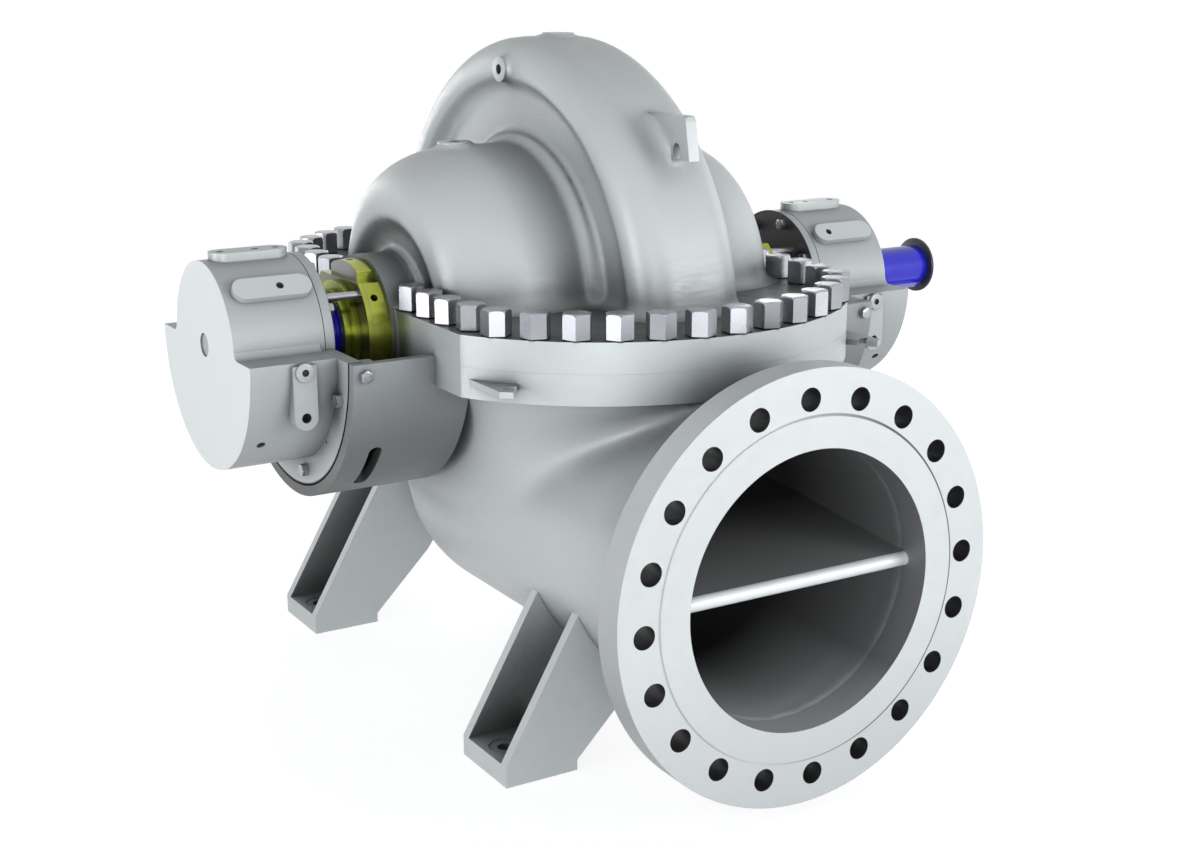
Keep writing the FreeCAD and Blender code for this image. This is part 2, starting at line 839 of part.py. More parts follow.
def foot(label, side, face):
    pad_block = block(
        label + "_pad", span(side, S.foot_inner, S.foot_outer),
        span(face, S.foot_near, S.foot_far), (0, S.foot_pad_thick),
    )
    hole_y = (S.foot_near + S.foot_far) / 2 * face
    hole_x = S.foot_bolt_x * side
    hole = rod(
        label + "_hole", "z", S.foot_hole_radius, (-1, S.foot_pad_thick + 1), (hole_x, hole_y)
    )
    seat = rod(
        label + "_seat", "z", S.foot_spotface_radius,
        (S.foot_pad_thick - S.foot_spotface_depth, S.foot_pad_thick + 1), (hole_x, hole_y),
    )
    rise = S.foot_top - S.foot_pad_thick
    root = S.foot_inner / 4
    outline = [
        (S.foot_outer, S.foot_pad_thick),
        (S.foot_outer - rise * S.foot_slope, S.foot_top),
        (root, S.foot_top),
        (root, S.foot_throat),
        (S.foot_inner / 2, S.foot_pad_thick / 2 + S.foot_inner / 2),
        (S.foot_inner, S.foot_pad_thick / 2),
        (S.foot_inner, S.foot_pad_thick),
    ]
    plates = []
    for name, start in (("_near_plate", S.foot_near), ("_far_plate", S.foot_far - S.foot_plate)):
        low, high = span(face, start, start + S.foot_plate)
        body = new_body(label + name, (0, high, 0), Rotation(ALONG_X, 90))
        sketch = new_sketch(body, label + name + "_outline")
        draw_outline(sketch, [(x * side, z) for x, z in outline])
        pad(body, sketch, label + name + "_pad", S.foot_plate)
        plates.append(body)
    drilled = cut(label + "_drilled", pad_block, hole, seat)
    rough = join(label + "_rough", drilled, *plates)
    return piece(cut(label, rough, casing_outline), label)


for side, hand in ((-1, "left"), (1, "right")):
    for face, end in ((-1, "front"), (1, "back")):
        foot("foot_%s_%s" % (end, hand), side, face)

# Bearing brackets, housings, seals at both ends

all_over = (-EVERYWHERE, EVERYWHERE)
lower_half = block("lower_half", all_over, all_over, (-EVERYWHERE, S.shaft_height))
upper_half = block("upper_half", all_over, all_over, (S.shaft_height, EVERYWHERE))
ON_SHAFT = (0, S.shaft_height)


def around_shaft(degrees, radius):
    """The point at a radius from the shaft, turned down from the front, as y and z."""
    angle = math.radians(degrees)
    return -radius * math.cos(angle), split - radius * math.sin(angle)


def bracket_slot(side):
    """A slot with round ends that follows the bracket's curve."""
    middle = side * v["slot_reach"]
    radius = v["slot_width"] / 2
    length = v["bracket_radius"] + 1
    inset = math.degrees(radius / v["bracket_radius"])
    low, high = v["slot_start"] + inset, v["slot_end"] - inset
    sector = Part.makeCylinder(length, v["slot_width"], Vector(0, 0, 0), ALONG_Z, high - low)
    sector.Placement = Placement(
        Vector(middle - radius, 0, split), Rotation(ALONG_X, 180 + low) * Rotation(
            ALONG_Y, 90) * Rotation(ALONG_Z, 90)
    )
    ends = []
    for degrees in (low, high):
        y, z = around_shaft(degrees, length)
        ends.append(Part.makeCylinder(
            radius, length, Vector(middle, 0, split), Vector(0, y, z - split)
        ))
    return sector.fuse(ends)


def bracket(hand, side):
    name = "bearing_bracket_" + hand
    outer = rod(
        name + "_outer", "x", S.bracket_radius,
        span(side, S.split_flange_reach - S.bracket_web, S.bracket_reach), ON_SHAFT,
    )
    room = rod(
        name + "_room", "x", S.bracket_radius - S.bracket_wall,
        span(side, S.split_flange_reach, S.bracket_reach + 1), ON_SHAFT,
    )
    shoulder_end = S.bracket_reach - S.housing_flange_thick
    shoulder = rod(
        name + "_shoulder", "x", S.bracket_radius - S.bracket_wall / 2,
        span(side, shoulder_end - S.bracket_wall, shoulder_end), ON_SHAFT,
    )
    opening = rod(
        name + "_opening", "x", S.bracket_radius - S.bracket_wall * 2,
        span(side, shoulder_end - S.bracket_wall - 1, shoulder_end + 1), ON_SHAFT,
    )
    slot = feature(name + "_slot", bracket_slot(side))
    tube = cut(name + "_tube", outer, room)
    ring = cut(name + "_ring", shoulder, opening)
    cradle = overlap(name + "_cradle", join(name + "_whole", tube, ring), lower_half)
    return piece(cut(name, cradle, casing_outline, slot), name)


def housing_pad(name, side, turn, half_width, height, holes):
    """A drilled obround pad along a housing, turned about the shaft from the top."""
    body = new_body(name, (0, 0, S.shaft_height), Rotation(ALONG_X, turn))
    outline = new_sketch(body, name + "_outline")
    low, high = span(side, S.pad_inner + half_width, S.pad_outer - half_width)
    draw_obround(outline, low, high, half_width)
    pad(body, outline, name + "_pad", height)
    drill = new_sketch(body, name + "_holes", height=height)
    for reach in holes:
        draw_circle(drill, S.pad_hole_radius, reach * side, 0)
    pocket(body, drill, name + "_drilled", S.pad_hole_depth)
    return body


def housing_strip(name, side):
    """The strip down the front of the lower housing, with a round lower end and a hole."""
    low, high = span(side, S.lug_strip_reach - S.lug_strip_half_width,
                     S.lug_strip_reach + S.lug_strip_half_width)
    centre = S.lug_strip_reach * side
    bottom = S.shaft_height - S.lug_strip_bottom
    front = (-S.lug_strip_y, -S.housing_radius)
    strip = block(name + "_bar", (low, high), front, (bottom, S.shaft_height - S.lug_strip_top))
    end = rod(name + "_end", "y", S.lug_strip_half_width, front, (centre, bottom))
    hole = rod(
        name + "_hole", "y", S.lug_strip_hole,
        (-S.lug_strip_y - 1, -S.lug_strip_y + S.drain_depth), (centre, bottom),
    )
    return join(name, strip, end), hole


def housing_lower(hand, side):
    name = "bearing_housing_lower_" + hand
    inner = S.bracket_reach - S.housing_flange_thick
    flange_radius = S.bracket_radius - S.bracket_wall - S.housing_gap
    barrel = rod(
        name + "_barrel", "x", S.housing_sump_radius, span(side, inner, S.housing_reach), ON_SHAFT
    )
    flange = rod(name + "_flange", "x", flange_radius, span(side, inner, S.bracket_reach), ON_SHAFT)
    strip, strip_hole = housing_strip(name + "_strip", side)
    y, z = around_shaft(v["drain_turn"], v["housing_sump_radius"] - v["drain_depth"])
    drain = feature(name + "_drain", Part.makeCylinder(
        v["drain_radius"], 2 * v["drain_depth"], Vector(side * v["drain_reach"], y, z),
        Vector(0, y, z - split),
    ))
    whole = join(name + "_whole", barrel, flange, strip)
    return whole, [strip_hole, drain]


def housing_upper(hand, side):
    name = "bearing_housing_upper_" + hand
    length = span(side, S.housing_inner, S.housing_reach)
    barrel = rod(name + "_barrel", "x", S.housing_radius, length, ON_SHAFT)
    inset = S.pad_hole_radius * 3
    top = housing_pad(
        name + "_top_pad", side, 0, S.top_pad_half_width, S.top_pad_height,
        (S.pad_inner + inset, S.side_pad_hole_left, S.pad_outer - inset),
    )
    slanted = housing_pad(
        name + "_side_pad", side, 45, S.side_pad_half_width, S.side_pad_height,
        (getattr(S, "side_pad_hole_" + hand),),
    )
    ledges = []
    for face in (-1, 1):
        outer = S.housing_radius + S.ledge_round
        low, high = span(face, S.housing_radius - S.ledge_round, outer)
        bar = block(
            name + "_ledge_bar", span(side, S.bracket_reach, S.housing_reach), (low, high),
            (S.shaft_height, S.shaft_height + S.ledge_round),
        )
        hollow = rod(
            name + "_ledge_hollow", "x", S.ledge_round,
            span(side, S.bracket_reach - 1, S.housing_reach + 1),
            (outer * face, S.shaft_height + S.ledge_round),
        )
        ledges.append(cut(name + "_ledge", bar, hollow))
    seam_outer = rod(
        name + "_seam_outer", "x", S.housing_radius + 1,
        span(side, S.seam_reach, S.seam_reach + S.seam_width), ON_SHAFT,
    )
    seam_inner = rod(
        name + "_seam_inner", "x", S.housing_radius - S.seam_width * 2,
        span(side, S.seam_reach - 1, S.seam_reach + S.seam_width + 1), ON_SHAFT,
    )
    whole = join(name + "_whole", barrel, top, slanted, *ledges)
    return whole, [cut(name + "_seam", seam_outer, seam_inner)]


def housing(hand, side):
    running = S.journal_radius + S.running_gap
    bore_end = S.housing_reach + 1 if side > 0 else S.housing_reach - S.casing_wall
    for half, make, half_block in (
        ("lower", housing_lower, lower_half), ("upper", housing_upper, upper_half),
    ):
        name = "bearing_housing_%s_%s" % (half, hand)
        whole, tools = make(hand, side)
        bore = span(side, S.housing_inner - 1, bore_end)
        tools.append(rod(name + "_bore", "x", running, bore, ON_SHAFT))
        if side < 0:
            tools.append(rod(
                name + "_dimple", "x", S.dimple_radius,
                span(side, S.housing_reach - S.dimple_depth, S.housing_reach + 1), ON_SHAFT,
            ))
        piece(overlap(name, cut(name + "_bored", whole, *tools), half_block), name)


def seal_plate(hand, side):
    """A disc against the neck, notched at its four corners, with recessed upper and lower lobes."""
    name = "seal_plate_" + hand
    face = S.neck_reach
    plate_end = face + S.seal_plate_thick
    radius = S.seal_plate_radius
    whole = span(side, face, plate_end)
    disc = rod(name + "_disc", "x", radius, whole, ON_SHAFT)
    middle = block(
        name + "_middle", whole, (-radius, radius),
        (S.shaft_height - S.seal_lobe_foot, S.shaft_height + S.seal_lobe_foot),
    )
    lobes = block(
        name + "_lobes", span(side, face, plate_end - S.seal_lobe_recess),
        (-S.seal_lobe_half_width, S.seal_lobe_half_width),
        (S.shaft_height - radius, S.shaft_height + radius),
    )
    outline = overlap(name + "_outline", disc, join(name + "_blocks", middle, lobes))
    clear = S.shaft_middle_radius + S.open_gap
    hole = rod(name + "_hole", "x", clear, span(side, face - 1, plate_end + 1), ON_SHAFT)
    port_reach = (face + S.seal_plate_thick / 2) * side
    top_port = rod(
        name + "_top_port", "z", S.seal_port_radius,
        (S.shaft_height + radius - S.seal_port_depth, S.shaft_height + radius + 1), (port_reach, 0),
    )
    y, z = around_shaft(v["seal_port_turn"], v["seal_plate_radius"] - v["seal_port_depth"])
    front_port = feature(name + "_front_port", Part.makeCylinder(
        v["seal_port_radius"], 2 * v["seal_port_depth"], Vector(port_reach.value, y, z),
        Vector(0, y, z - split),
    ))
    piece(cut(name, outline, hole, top_port, front_port), name)


def gland(hand, side):
    name = "gland_" + hand
    foot = S.neck_reach + S.seal_plate_thick
    end = foot + S.gland_thick
    clear = S.shaft_middle_radius + S.open_gap
    half = span(side, foot, foot + S.gland_thick / 2)
    ring = rod(name + "_ring", "x", S.gland_radius, half, ON_SHAFT)
    step = rod(name + "_step", "x", S.gland_step_radius, span(side, foot, end), ON_SHAFT)
    hole = rod(name + "_hole", "x", clear, span(side, foot - 1, end + 1), ON_SHAFT)
    piece(cut(name, join(name + "_whole", ring, step), hole), name)


for side, hand in ((-1, "left"), (1, "right")):
    bracket(hand, side)
    housing(hand, side)
    seal_plate(hand, side)
    gland(hand, side)

# Rotor: the shaft with its thicker middle, key and end disc

free_end = rod("shaft_free_end", "x", S.shaft_radius, (S.housing_reach, S.shaft_reach), ON_SHAFT)
journals = rod(
    "shaft_journals", "x", S.journal_radius,
    (-(S.housing_reach - S.casing_wall - S.open_gap), S.housing_reach + S.open_gap), ON_SHAFT,
)
middle = rod(
    "shaft_middle", "x", S.shaft_middle_radius,
    (-S.shaft_middle_reach, S.shaft_middle_reach), ON_SHAFT,
)
shaft_round = join("shaft_round", free_end, journals, middle)


def key_body(name, outer):
    """A bar along the shaft from the keyway's floor to a radius, turned to the keyway."""
    start = S.housing_reach + S.key_gap
    body = new_body(name, (start, 0, S.shaft_height), Rotation(ALONG_X, -v["key_turn"]))
    outline = new_sketch(body, name + "_outline", "YZ_Plane")
    half = S.key_width / 2
    floor = S.shaft_radius - S.key_depth
    draw_outline(outline, [(-half, -outer), (half, -outer), (half, -floor), (-half, -floor)])
    pad(body, outline, name + "_pad", S.shaft_reach - S.key_end - start)
    return body


piece(cut("shaft", shaft_round, key_body("keyway", S.shaft_radius + 1)), "shaft")
piece(key_body("shaft_key", S.shaft_radius + S.key_proud), "shaft_key")
piece(rod(
    "end_disc", "x", S.end_disc_radius, (S.shaft_reach, S.shaft_reach + S.end_disc_thick), ON_SHAFT
), "end_disc")

doc.recompute()

faults = [item.Name for item in doc.Objects if "Invalid" in item.State or "Error" in item.State]
for label, item in pieces.items():
    if item.Shape.isNull() or not item.Shape.isValid():
        faults.append(label)
if faults:
    raise RuntimeError("failed pieces: " + ", ".join(sorted(set(faults))))

os.makedirs("parts", exist_ok=True)
for label, item in pieces.items():
    item.Shape.exportStep("parts/%s.step" % label)
    solids, litres = len(item.Shape.Solids), item.Shape.Volume / 1e6
    print("%-28s solids %d  volume %.3f l" % (label, solids, litres))
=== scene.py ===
import json
import math

import bpy
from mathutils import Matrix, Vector

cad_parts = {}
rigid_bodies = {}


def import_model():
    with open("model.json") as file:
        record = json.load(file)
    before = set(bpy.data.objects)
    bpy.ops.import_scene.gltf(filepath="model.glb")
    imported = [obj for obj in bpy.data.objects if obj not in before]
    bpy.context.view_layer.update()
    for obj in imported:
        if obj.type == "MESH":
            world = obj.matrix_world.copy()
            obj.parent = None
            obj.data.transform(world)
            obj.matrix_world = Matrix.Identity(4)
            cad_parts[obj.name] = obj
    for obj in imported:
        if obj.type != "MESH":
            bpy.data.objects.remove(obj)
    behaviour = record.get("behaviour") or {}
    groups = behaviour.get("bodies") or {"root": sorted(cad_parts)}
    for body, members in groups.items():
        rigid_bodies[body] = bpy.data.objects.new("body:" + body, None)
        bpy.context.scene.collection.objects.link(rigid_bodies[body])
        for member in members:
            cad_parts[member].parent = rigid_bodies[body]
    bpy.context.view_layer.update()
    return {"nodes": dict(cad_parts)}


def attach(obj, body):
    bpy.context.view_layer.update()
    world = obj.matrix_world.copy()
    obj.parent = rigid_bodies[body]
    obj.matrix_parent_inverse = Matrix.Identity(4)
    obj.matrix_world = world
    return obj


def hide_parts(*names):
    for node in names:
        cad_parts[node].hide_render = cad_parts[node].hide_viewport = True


# Split case pump, metres. The shaft lies along X at SHAFT_HEIGHT, the suction flange faces -Y.

for leftover in list(bpy.data.objects):
    bpy.data.objects.remove(leftover)

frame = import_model()

SHAFT_HEIGHT = 0.75
BRANCH_HEIGHT = 0.40
DISCHARGE_HEIGHT = 0.42
FLANGE_HALF = 0.0555
FLANGE_TOP = SHAFT_HEIGHT + FLANGE_HALF
NECK_RADIUS = 0.140
HOUSING_FACE = 0.577
HOUSING_INNER = 0.547
PLUG_X, PLUG_HEIGHT = 0.641, 0.733
RIGHT_ANGLE = math.pi / 2


# Handling of pieces


def put_down_all():
    for piece in bpy.context.scene.objects:
        piece.select_set(False)
    bpy.context.view_layer.objects.active = None


def pick_up(*pieces):
    put_down_all()
    for piece in pieces:
        piece.select_set(True)
    bpy.context.view_layer.objects.active = pieces[0]


def fresh(name):
    """The piece that an operator has just added, named."""
    piece = bpy.context.object
    piece.name = name
    piece.data.name = name
    return piece


def settle(piece):
    """Puts the piece's place, turn and scale into its mesh."""
    pick_up(piece)
    bpy.ops.object.transform_apply(location=True, rotation=True, scale=True)
    return piece


def finish_with(piece, kind, **settings):
    """Adds a modifier to the piece and applies it."""
    pick_up(piece)
    modifier = piece.modifiers.new(kind.title(), kind)
    for name, value in settings.items():
        setattr(modifier, name, value)
    bpy.ops.object.modifier_apply(modifier=modifier.name)
    return piece


def shape(piece, other, operation, solver="EXACT"):
    """Cuts, joins or keeps the overlap with another body, which is used up."""
    finish_with(piece, "BOOLEAN", object=other, operation=operation, solver=solver)
    bpy.data.objects.remove(other)
    return piece


def smooth_edges(piece, degrees=30):
    pick_up(piece)
    bpy.ops.object.shade_smooth_by_angle(angle=math.radians(degrees))
    return piece


def choose_edges(piece, wanted):
    """Opens the piece for editing with only the edges chosen whose two ends pass the test."""
    pick_up(piece)
    bpy.ops.object.mode_set(mode="EDIT")
    bpy.ops.mesh.select_mode(type="EDGE")
    bpy.ops.mesh.select_all(action="DESELECT")
    bpy.ops.object.mode_set(mode="OBJECT")
    for edge in piece.data.edges:
        first, second = (piece.data.vertices[i].co for i in edge.vertices)
        edge.select = wanted(first, second)
    bpy.ops.object.mode_set(mode="EDIT")


def cylinder(name, radius, depth, centre=(0, 0, 0), turn=(0, 0, 0), sides=48):
    put_down_all()
    bpy.ops.mesh.primitive_cylinder_add(
        vertices=sides, radius=radius, depth=depth, location=centre, rotation=turn
    )
    return settle(fresh(name))


def block(name, corner, opposite):
    """A box between two opposite corners."""
    put_down_all()
    bpy.ops.mesh.primitive_cube_add(size=1, location=(Vector(corner) + Vector(opposite)) / 2)
    piece = fresh(name)
    piece.scale = [abs(a - b) for a, b in zip(corner, opposite)]
    return settle(piece)


def bar(name, start, end, width, low, high):
    """A flat bar between two points in plan."""
    along = Vector(end) - Vector(start)
    middle = (Vector(start) + Vector(end)) / 2
    put_down_all()
    bpy.ops.mesh.primitive_cube_add(
        size=1, location=(*middle, (low + high) / 2), rotation=(0, 0, math.atan2(along.y, along.x))
    )
    piece = fresh(name)
    piece.scale = (along.length, width, high - low)
    return settle(piece)


def slice_off(piece, point, outward):
    """Takes away what lies beyond a plane, and closes the cut."""
    pick_up(piece)
    bpy.ops.object.mode_set(mode="EDIT")
    bpy.ops.mesh.select_all(action="SELECT")
    bpy.ops.mesh.bisect(plane_co=point, plane_no=outward, use_fill=True, clear_outer=True)
    bpy.ops.object.mode_set(mode="OBJECT")
    return piece


def bevel_edges(piece, width, segments, wanted):
    choose_edges(piece, wanted)
    bpy.ops.mesh.bevel(offset=width, segments=segments)
    bpy.ops.object.mode_set(mode="OBJECT")
    return piece


def ring(name, radius, tube, centre):
    """A round ring about a line along X."""
    put_down_all()
    bpy.ops.mesh.primitive_torus_add(
        major_radius=radius, minor_radius=tube, major_segments=128, minor_segments=16,
        location=centre, rotation=(0, RIGHT_ANGLE, 0),
    )
    return settle(fresh(name))


def joined(first, *others):
    """One piece of several that overlap, for melting together."""
    pick_up(first, *others)
    bpy.ops.object.join()
    return first


def traced(name, cad_node):
    """A copy of a CAD piece with its triangles joined up."""
    piece = bpy.data.objects.new(name, frame["nodes"][cad_node].data.copy())
    bpy.context.scene.collection.objects.link(piece)
    pick_up(piece)
    bpy.ops.mesh.customdata_custom_splitnormals_clear()
    bpy.ops.object.mode_set(mode="EDIT")
    bpy.ops.mesh.select_all(action="SELECT")
    bpy.ops.mesh.remove_doubles(threshold=0.00001)
    bpy.ops.object.mode_set(mode="OBJECT")
    return piece


def soften_where(piece, passes, wanted):
    """Softens only the part of a skin that passes the test."""
    within = [vertex.index for vertex in piece.data.vertices if wanted(vertex.co)]
    piece.vertex_groups.new(name="chosen").add(within, 1.0, "REPLACE")
    finish_with(piece, "SMOOTH", factor=0.5, iterations=passes, vertex_group="chosen")
    piece.vertex_groups.remove(piece.vertex_groups["chosen"])
    return piece


def melt(piece, grain, passes):
    """Turns overlapping bodies into one skin of even grain, and softens it."""
    finish_with(piece, "REMESH", mode="VOXEL", voxel_size=grain)
    if passes:
        finish_with(piece, "SMOOTH", factor=0.5, iterations=passes)
    return piece


# Finishes


def finish_named(name, colour, metallic, roughness):
    material = bpy.data.materials.new(name)
    material.use_nodes = True
    shader = shader_of(material)
    shader.inputs["Base Color"].default_value = (*colour, 1)
    shader.inputs["Metallic"].default_value = metallic
    shader.inputs["Roughness"].default_value = roughness
    return material


def shader_of(material):
    return material.node_tree.nodes["Principled BSDF"]


def node(material, kind, **settings):
    made = material.node_tree.nodes.new(kind)
    for name, value in settings.items():
        setattr(made, name, value)
    return made


def wire(material, source, target):
    material.node_tree.links.new(source, target)


def give(material, value, socket):
    """Sets a socket to a number, or wires another node's output to it."""
    if isinstance(value, bpy.types.NodeSocket):
        wire(material, value, socket)
    else:
        socket.default_value = value


def place_on(material):
    """The place on the piece, in metres."""
    return node(material, "ShaderNodeTexCoord").outputs["Object"]


def axes(material):
    split = node(material, "ShaderNodeSeparateXYZ")
    wire(material, place_on(material), split.inputs["Vector"])
    return [split.outputs[axis] for axis in "XYZ"]


def work(material, operation, first, second=0.0):
    step = node(material, "ShaderNodeMath", operation=operation)
    give(material, first, step.inputs[0])
    give(material, second, step.inputs[1])
    return step.outputs["Value"]


def between(material, value, low, high):
    """1 where the value lies between two limits, 0 elsewhere."""
    above = work(material, "GREATER_THAN", value, low)
    return work(material, "MULTIPLY", above, work(material, "LESS_THAN", value, high))


def reach_from(material, first, second, first_centre, second_centre):
    """The distance from an axis that runs along the third direction."""
    a = work(material, "SUBTRACT", first, first_centre)
    b = work(material, "SUBTRACT", second, second_centre)
    squares = work(
        material, "ADD", work(material, "MULTIPLY", a, a), work(material, "MULTIPLY", b, b)
    )
    return work(material, "SQRT", squares)


def both(material, *masks):
    whole = masks[0]
    for mask in masks[1:]:
        whole = work(material, "MULTIPLY", whole, mask)
    return whole


def spread(material, factor, low, high, start=0.3, end=0.7):
    """A value that follows the factor between two limits."""
    limits = node(material, "ShaderNodeMapRange")
    for name, value in zip(("From Min", "From Max", "To Min", "To Max"), (start, end, low, high)):
        limits.inputs[name].default_value = value
    wire(material, factor, limits.inputs["Value"])
    return limits.outputs["Result"]


def over(material, under, top, mask):
    """One colour laid over another where the mask is 1."""
    mix = node(material, "ShaderNodeMix", data_type="RGBA")
    for value, socket in ((under, "A"), (top, "B")):
        give(material, value if isinstance(value, bpy.types.NodeSocket) else (*value, 1),
             mix.inputs[socket])
    give(material, mask, mix.inputs["Factor"])
    return mix.outputs["Result"]


def noise(material, scale, detail=3.0, stretch=(1, 1, 1)):
    mapping = node(material, "ShaderNodeMapping")
    mapping.inputs["Scale"].default_value = stretch
    wire(material, place_on(material), mapping.inputs["Vector"])
    texture = node(material, "ShaderNodeTexNoise")
    texture.inputs["Scale"].default_value = scale
    texture.inputs["Detail"].default_value = detail
    wire(material, mapping.outputs["Vector"], texture.inputs["Vector"])
    return texture.outputs["Fac"]


def scaled(colour, factor):
    return tuple(channel * factor for channel in colour)


def roughen(material, height, distance, strength=1.0):
    bump = node(material, "ShaderNodeBump")
    bump.inputs["Distance"].default_value = distance
    bump.inputs["Strength"].default_value = strength
    wire(material, height, bump.inputs["Height"])
    wire(material, bump.outputs["Normal"], shader_of(material).inputs["Normal"])


# The share of open air above which a face gets no painted shade
OPEN_AIR = 0.93


def painted_hollow_shade(material, colour, depth, darkest, closed=0.25, own_only=False):
    """The colour darkened by painted shade in hollows and round what stands on a face."""
    open_air = node(material, "ShaderNodeAmbientOcclusion", samples=6, only_local=own_only)
    open_air.inputs["Distance"].default_value = depth
    shade = spread(material, open_air.outputs["AO"], darkest, 1.0, closed, OPEN_AIR)
    dimmed = node(material, "ShaderNodeVectorMath", operation="SCALE")
    give(material, colour, dimmed.inputs[0])
    wire(material, shade, dimmed.inputs["Scale"])
    return dimmed.outputs["Vector"]


def paint(material, colour):
    wire(material, colour, shader_of(material).inputs["Base Color"])


def mottled(material, colour, scale, low, high, stretch=(1, 1, 1)):
    return over(material, scaled(colour, low), scaled(colour, high),
                spread(material, noise(material, scale, 4.0, stretch), 0.0, 1.0))


# Painted shade inside the passages: grey at the mouth, nearly black deep in
PASSAGE_MOUTH_SHADE = (0.24, 0.245, 0.25)
PASSAGE_DEEP_SHADE = (0.036, 0.036, 0.037)
CAST = (0.62, 0.66, 0.67)
# Painted shade: near black for gaps between parts, small holes and sockets, and under the nuts
SHADE_DARK = (0.015, 0.015, 0.017)
# Where the paint changes: radii from the branch or the shaft, and places along the shaft
SUCTION_PASSAGE_RADIUS = 0.262
DISCHARGE_PASSAGE_RADIUS = 0.178
NECK_FACE = 0.346
DISH_FROM_NECK = (0.150, 0.155)
DISH_TO_CHAMBER = (0.178, 0.215)
DISH_DEPTH = (0.325, 0.338)


def passage_shade(material, mouth_colour, y, mouth, deep):
    """Painted shade in a passage: the mouth's colour at the mouth, darkening further in."""
    return over(material, mouth_colour, PASSAGE_DEEP_SHADE, spread(material, y, 0.0, 1.0, mouth, deep))


def shaded_mouth(material, z):
    """Painted shade in the mouth of a branch, with painted light along the bottom of the suction
    one.
    """
    low = spread(material, z, 1.0, 0.0, BRANCH_HEIGHT - 0.250, BRANCH_HEIGHT - 0.170)
    return over(material, PASSAGE_MOUTH_SHADE, scaled(CAST, 1.05), low)


def grey_casting():
    """Satin light grey, darker on the turned necks and the bare milled top, which also has painted
    shade; painted shade in the dishes, in hollows and in the passages.
    """
    material = finish_named("grey_casting", CAST, 0.15, 0.42)
    x, y, z = axes(material)
    colour = mottled(material, CAST, 3.0, 0.95, 1.03)
    facing = node(material, "ShaderNodeSeparateXYZ")
    wire(material, node(material, "ShaderNodeTexCoord").outputs["Normal"], facing.inputs["Vector"])
    # The milled flange top: darker partly for its bare finish, partly as painted shade on the
    # upward face
    shaded_milled_top = both(
        material, between(material, z, FLANGE_TOP - 0.001, FLANGE_TOP + 0.001),
        work(material, "GREATER_THAN", facing.outputs["Z"], 0.9),
    )
    colour = over(material, colour, scaled(CAST, 0.30), shaded_milled_top)
    from_shaft = reach_from(material, y, z, 0, SHAFT_HEIGHT)
    along = work(material, "ABSOLUTE", x)
    # Painted shade in the dishes round the necks
    dish_shade = both(
        material, spread(material, from_shaft, 0.0, 1.0, *DISH_FROM_NECK),
        spread(material, from_shaft, 1.0, 0.0, *DISH_TO_CHAMBER),
        spread(material, along, 0.0, 1.0, *DISH_DEPTH),
    )
    colour = over(material, colour, scaled(CAST, 0.30), dish_shade)
    neck = both(
        material, work(material, "LESS_THAN", from_shaft, NECK_RADIUS + 0.002),
        work(material, "GREATER_THAN", along, NECK_FACE),
    )
    colour = over(material, colour, scaled(CAST, 0.62), neck)
    # Painted shade in hollows and round what stands on the casting
    colour = painted_hollow_shade(material, colour, 0.17, 0.12, 0.42)
    # Painted shade in the suction and discharge passages, darker further in
    for ends, height, radius, mouth_colour, mouth, deep in (
        ((-0.859, -0.05), BRANCH_HEIGHT, SUCTION_PASSAGE_RADIUS, shaded_mouth(material, z),
         -0.80, -0.48),
        ((0.05, 0.7985), DISCHARGE_HEIGHT, DISCHARGE_PASSAGE_RADIUS, PASSAGE_MOUTH_SHADE, 0.76, 0.50),
    ):
        reach = reach_from(material, x, z, 0, height)
        passage = both(material, between(material, y, *ends),
                       work(material, "LESS_THAN", reach, radius))
        inside = passage_shade(material, mouth_colour, y, mouth, deep)
        colour = over(material, colour, inside, passage)
    paint(material, colour)
    streaks = noise(material, 30.0, 5.0, (1, 1, 6))
    wire(material, spread(material, streaks, 0.36, 0.50), shader_of(material).inputs["Roughness"])
    roughen(material, noise(material, 220.0, 3.0), 0.0004, 0.35)
    return material


def machined(name, colour, metallic, rough, stretch=(0.25, 1, 5)):
    """Turned or milled light grey faces with very fine cutter lines."""
    material = finish_named(name, colour, metallic, rough)
    streaks = noise(material, 60.0, 4.0, stretch)
    wire(material, spread(material, streaks, rough - 0.03, rough + 0.04),
         shader_of(material).inputs["Roughness"])
    roughen(material, noise(material, 320.0, 2.0, (0.12, 1, 1)), 0.0003, 0.3)
    return material, mottled(material, colour, 40.0, 0.98, 1.015, stretch)


HOUSING = (0.50, 0.53, 0.54)
# Painted light: a lighter grey for the housings' end faces and pads and the splitter's nose
LIT_FACE = (0.86, 0.91, 0.92)
# The brackets' grey is darker than the housings', partly their own tone and partly painted shade
BRACKET = (0.35, 0.37, 0.38)
FLANGE = (0.72, 0.76, 0.77)
FOOT = (0.63, 0.67, 0.68)
# Painted shade on the splitter's sides in the passage
SPLITTER_SIDE_SHADE = (0.26, 0.265, 0.27)
# Painted shade at the housings' inner ends, which face the casing
INNER_END_SHADE = (0.06, 0.06, 0.06)
# Painted shade in the flanges' bolt holes
HOLE_SHADE = (0.03, 0.03, 0.032)
# Where the paint changes on the housings, the brackets and the splitter
HOUSING_RADIUS = 0.1555
PAD_FOOT = 0.84
END_FACE_X = 0.7376
HOUSING_FLANGE_EDGE = 0.2785
VENT_Y, VENT_HEIGHT, VENT_RADIUS = 0.167, 0.582, 0.0035
SOCKET_RADIUS = 0.0064
BRACKET_RIM_RADIUS = 0.2845
BRACKET_RIM_X = 0.5505
SPLITTER_NOSE_BACK = -0.8035


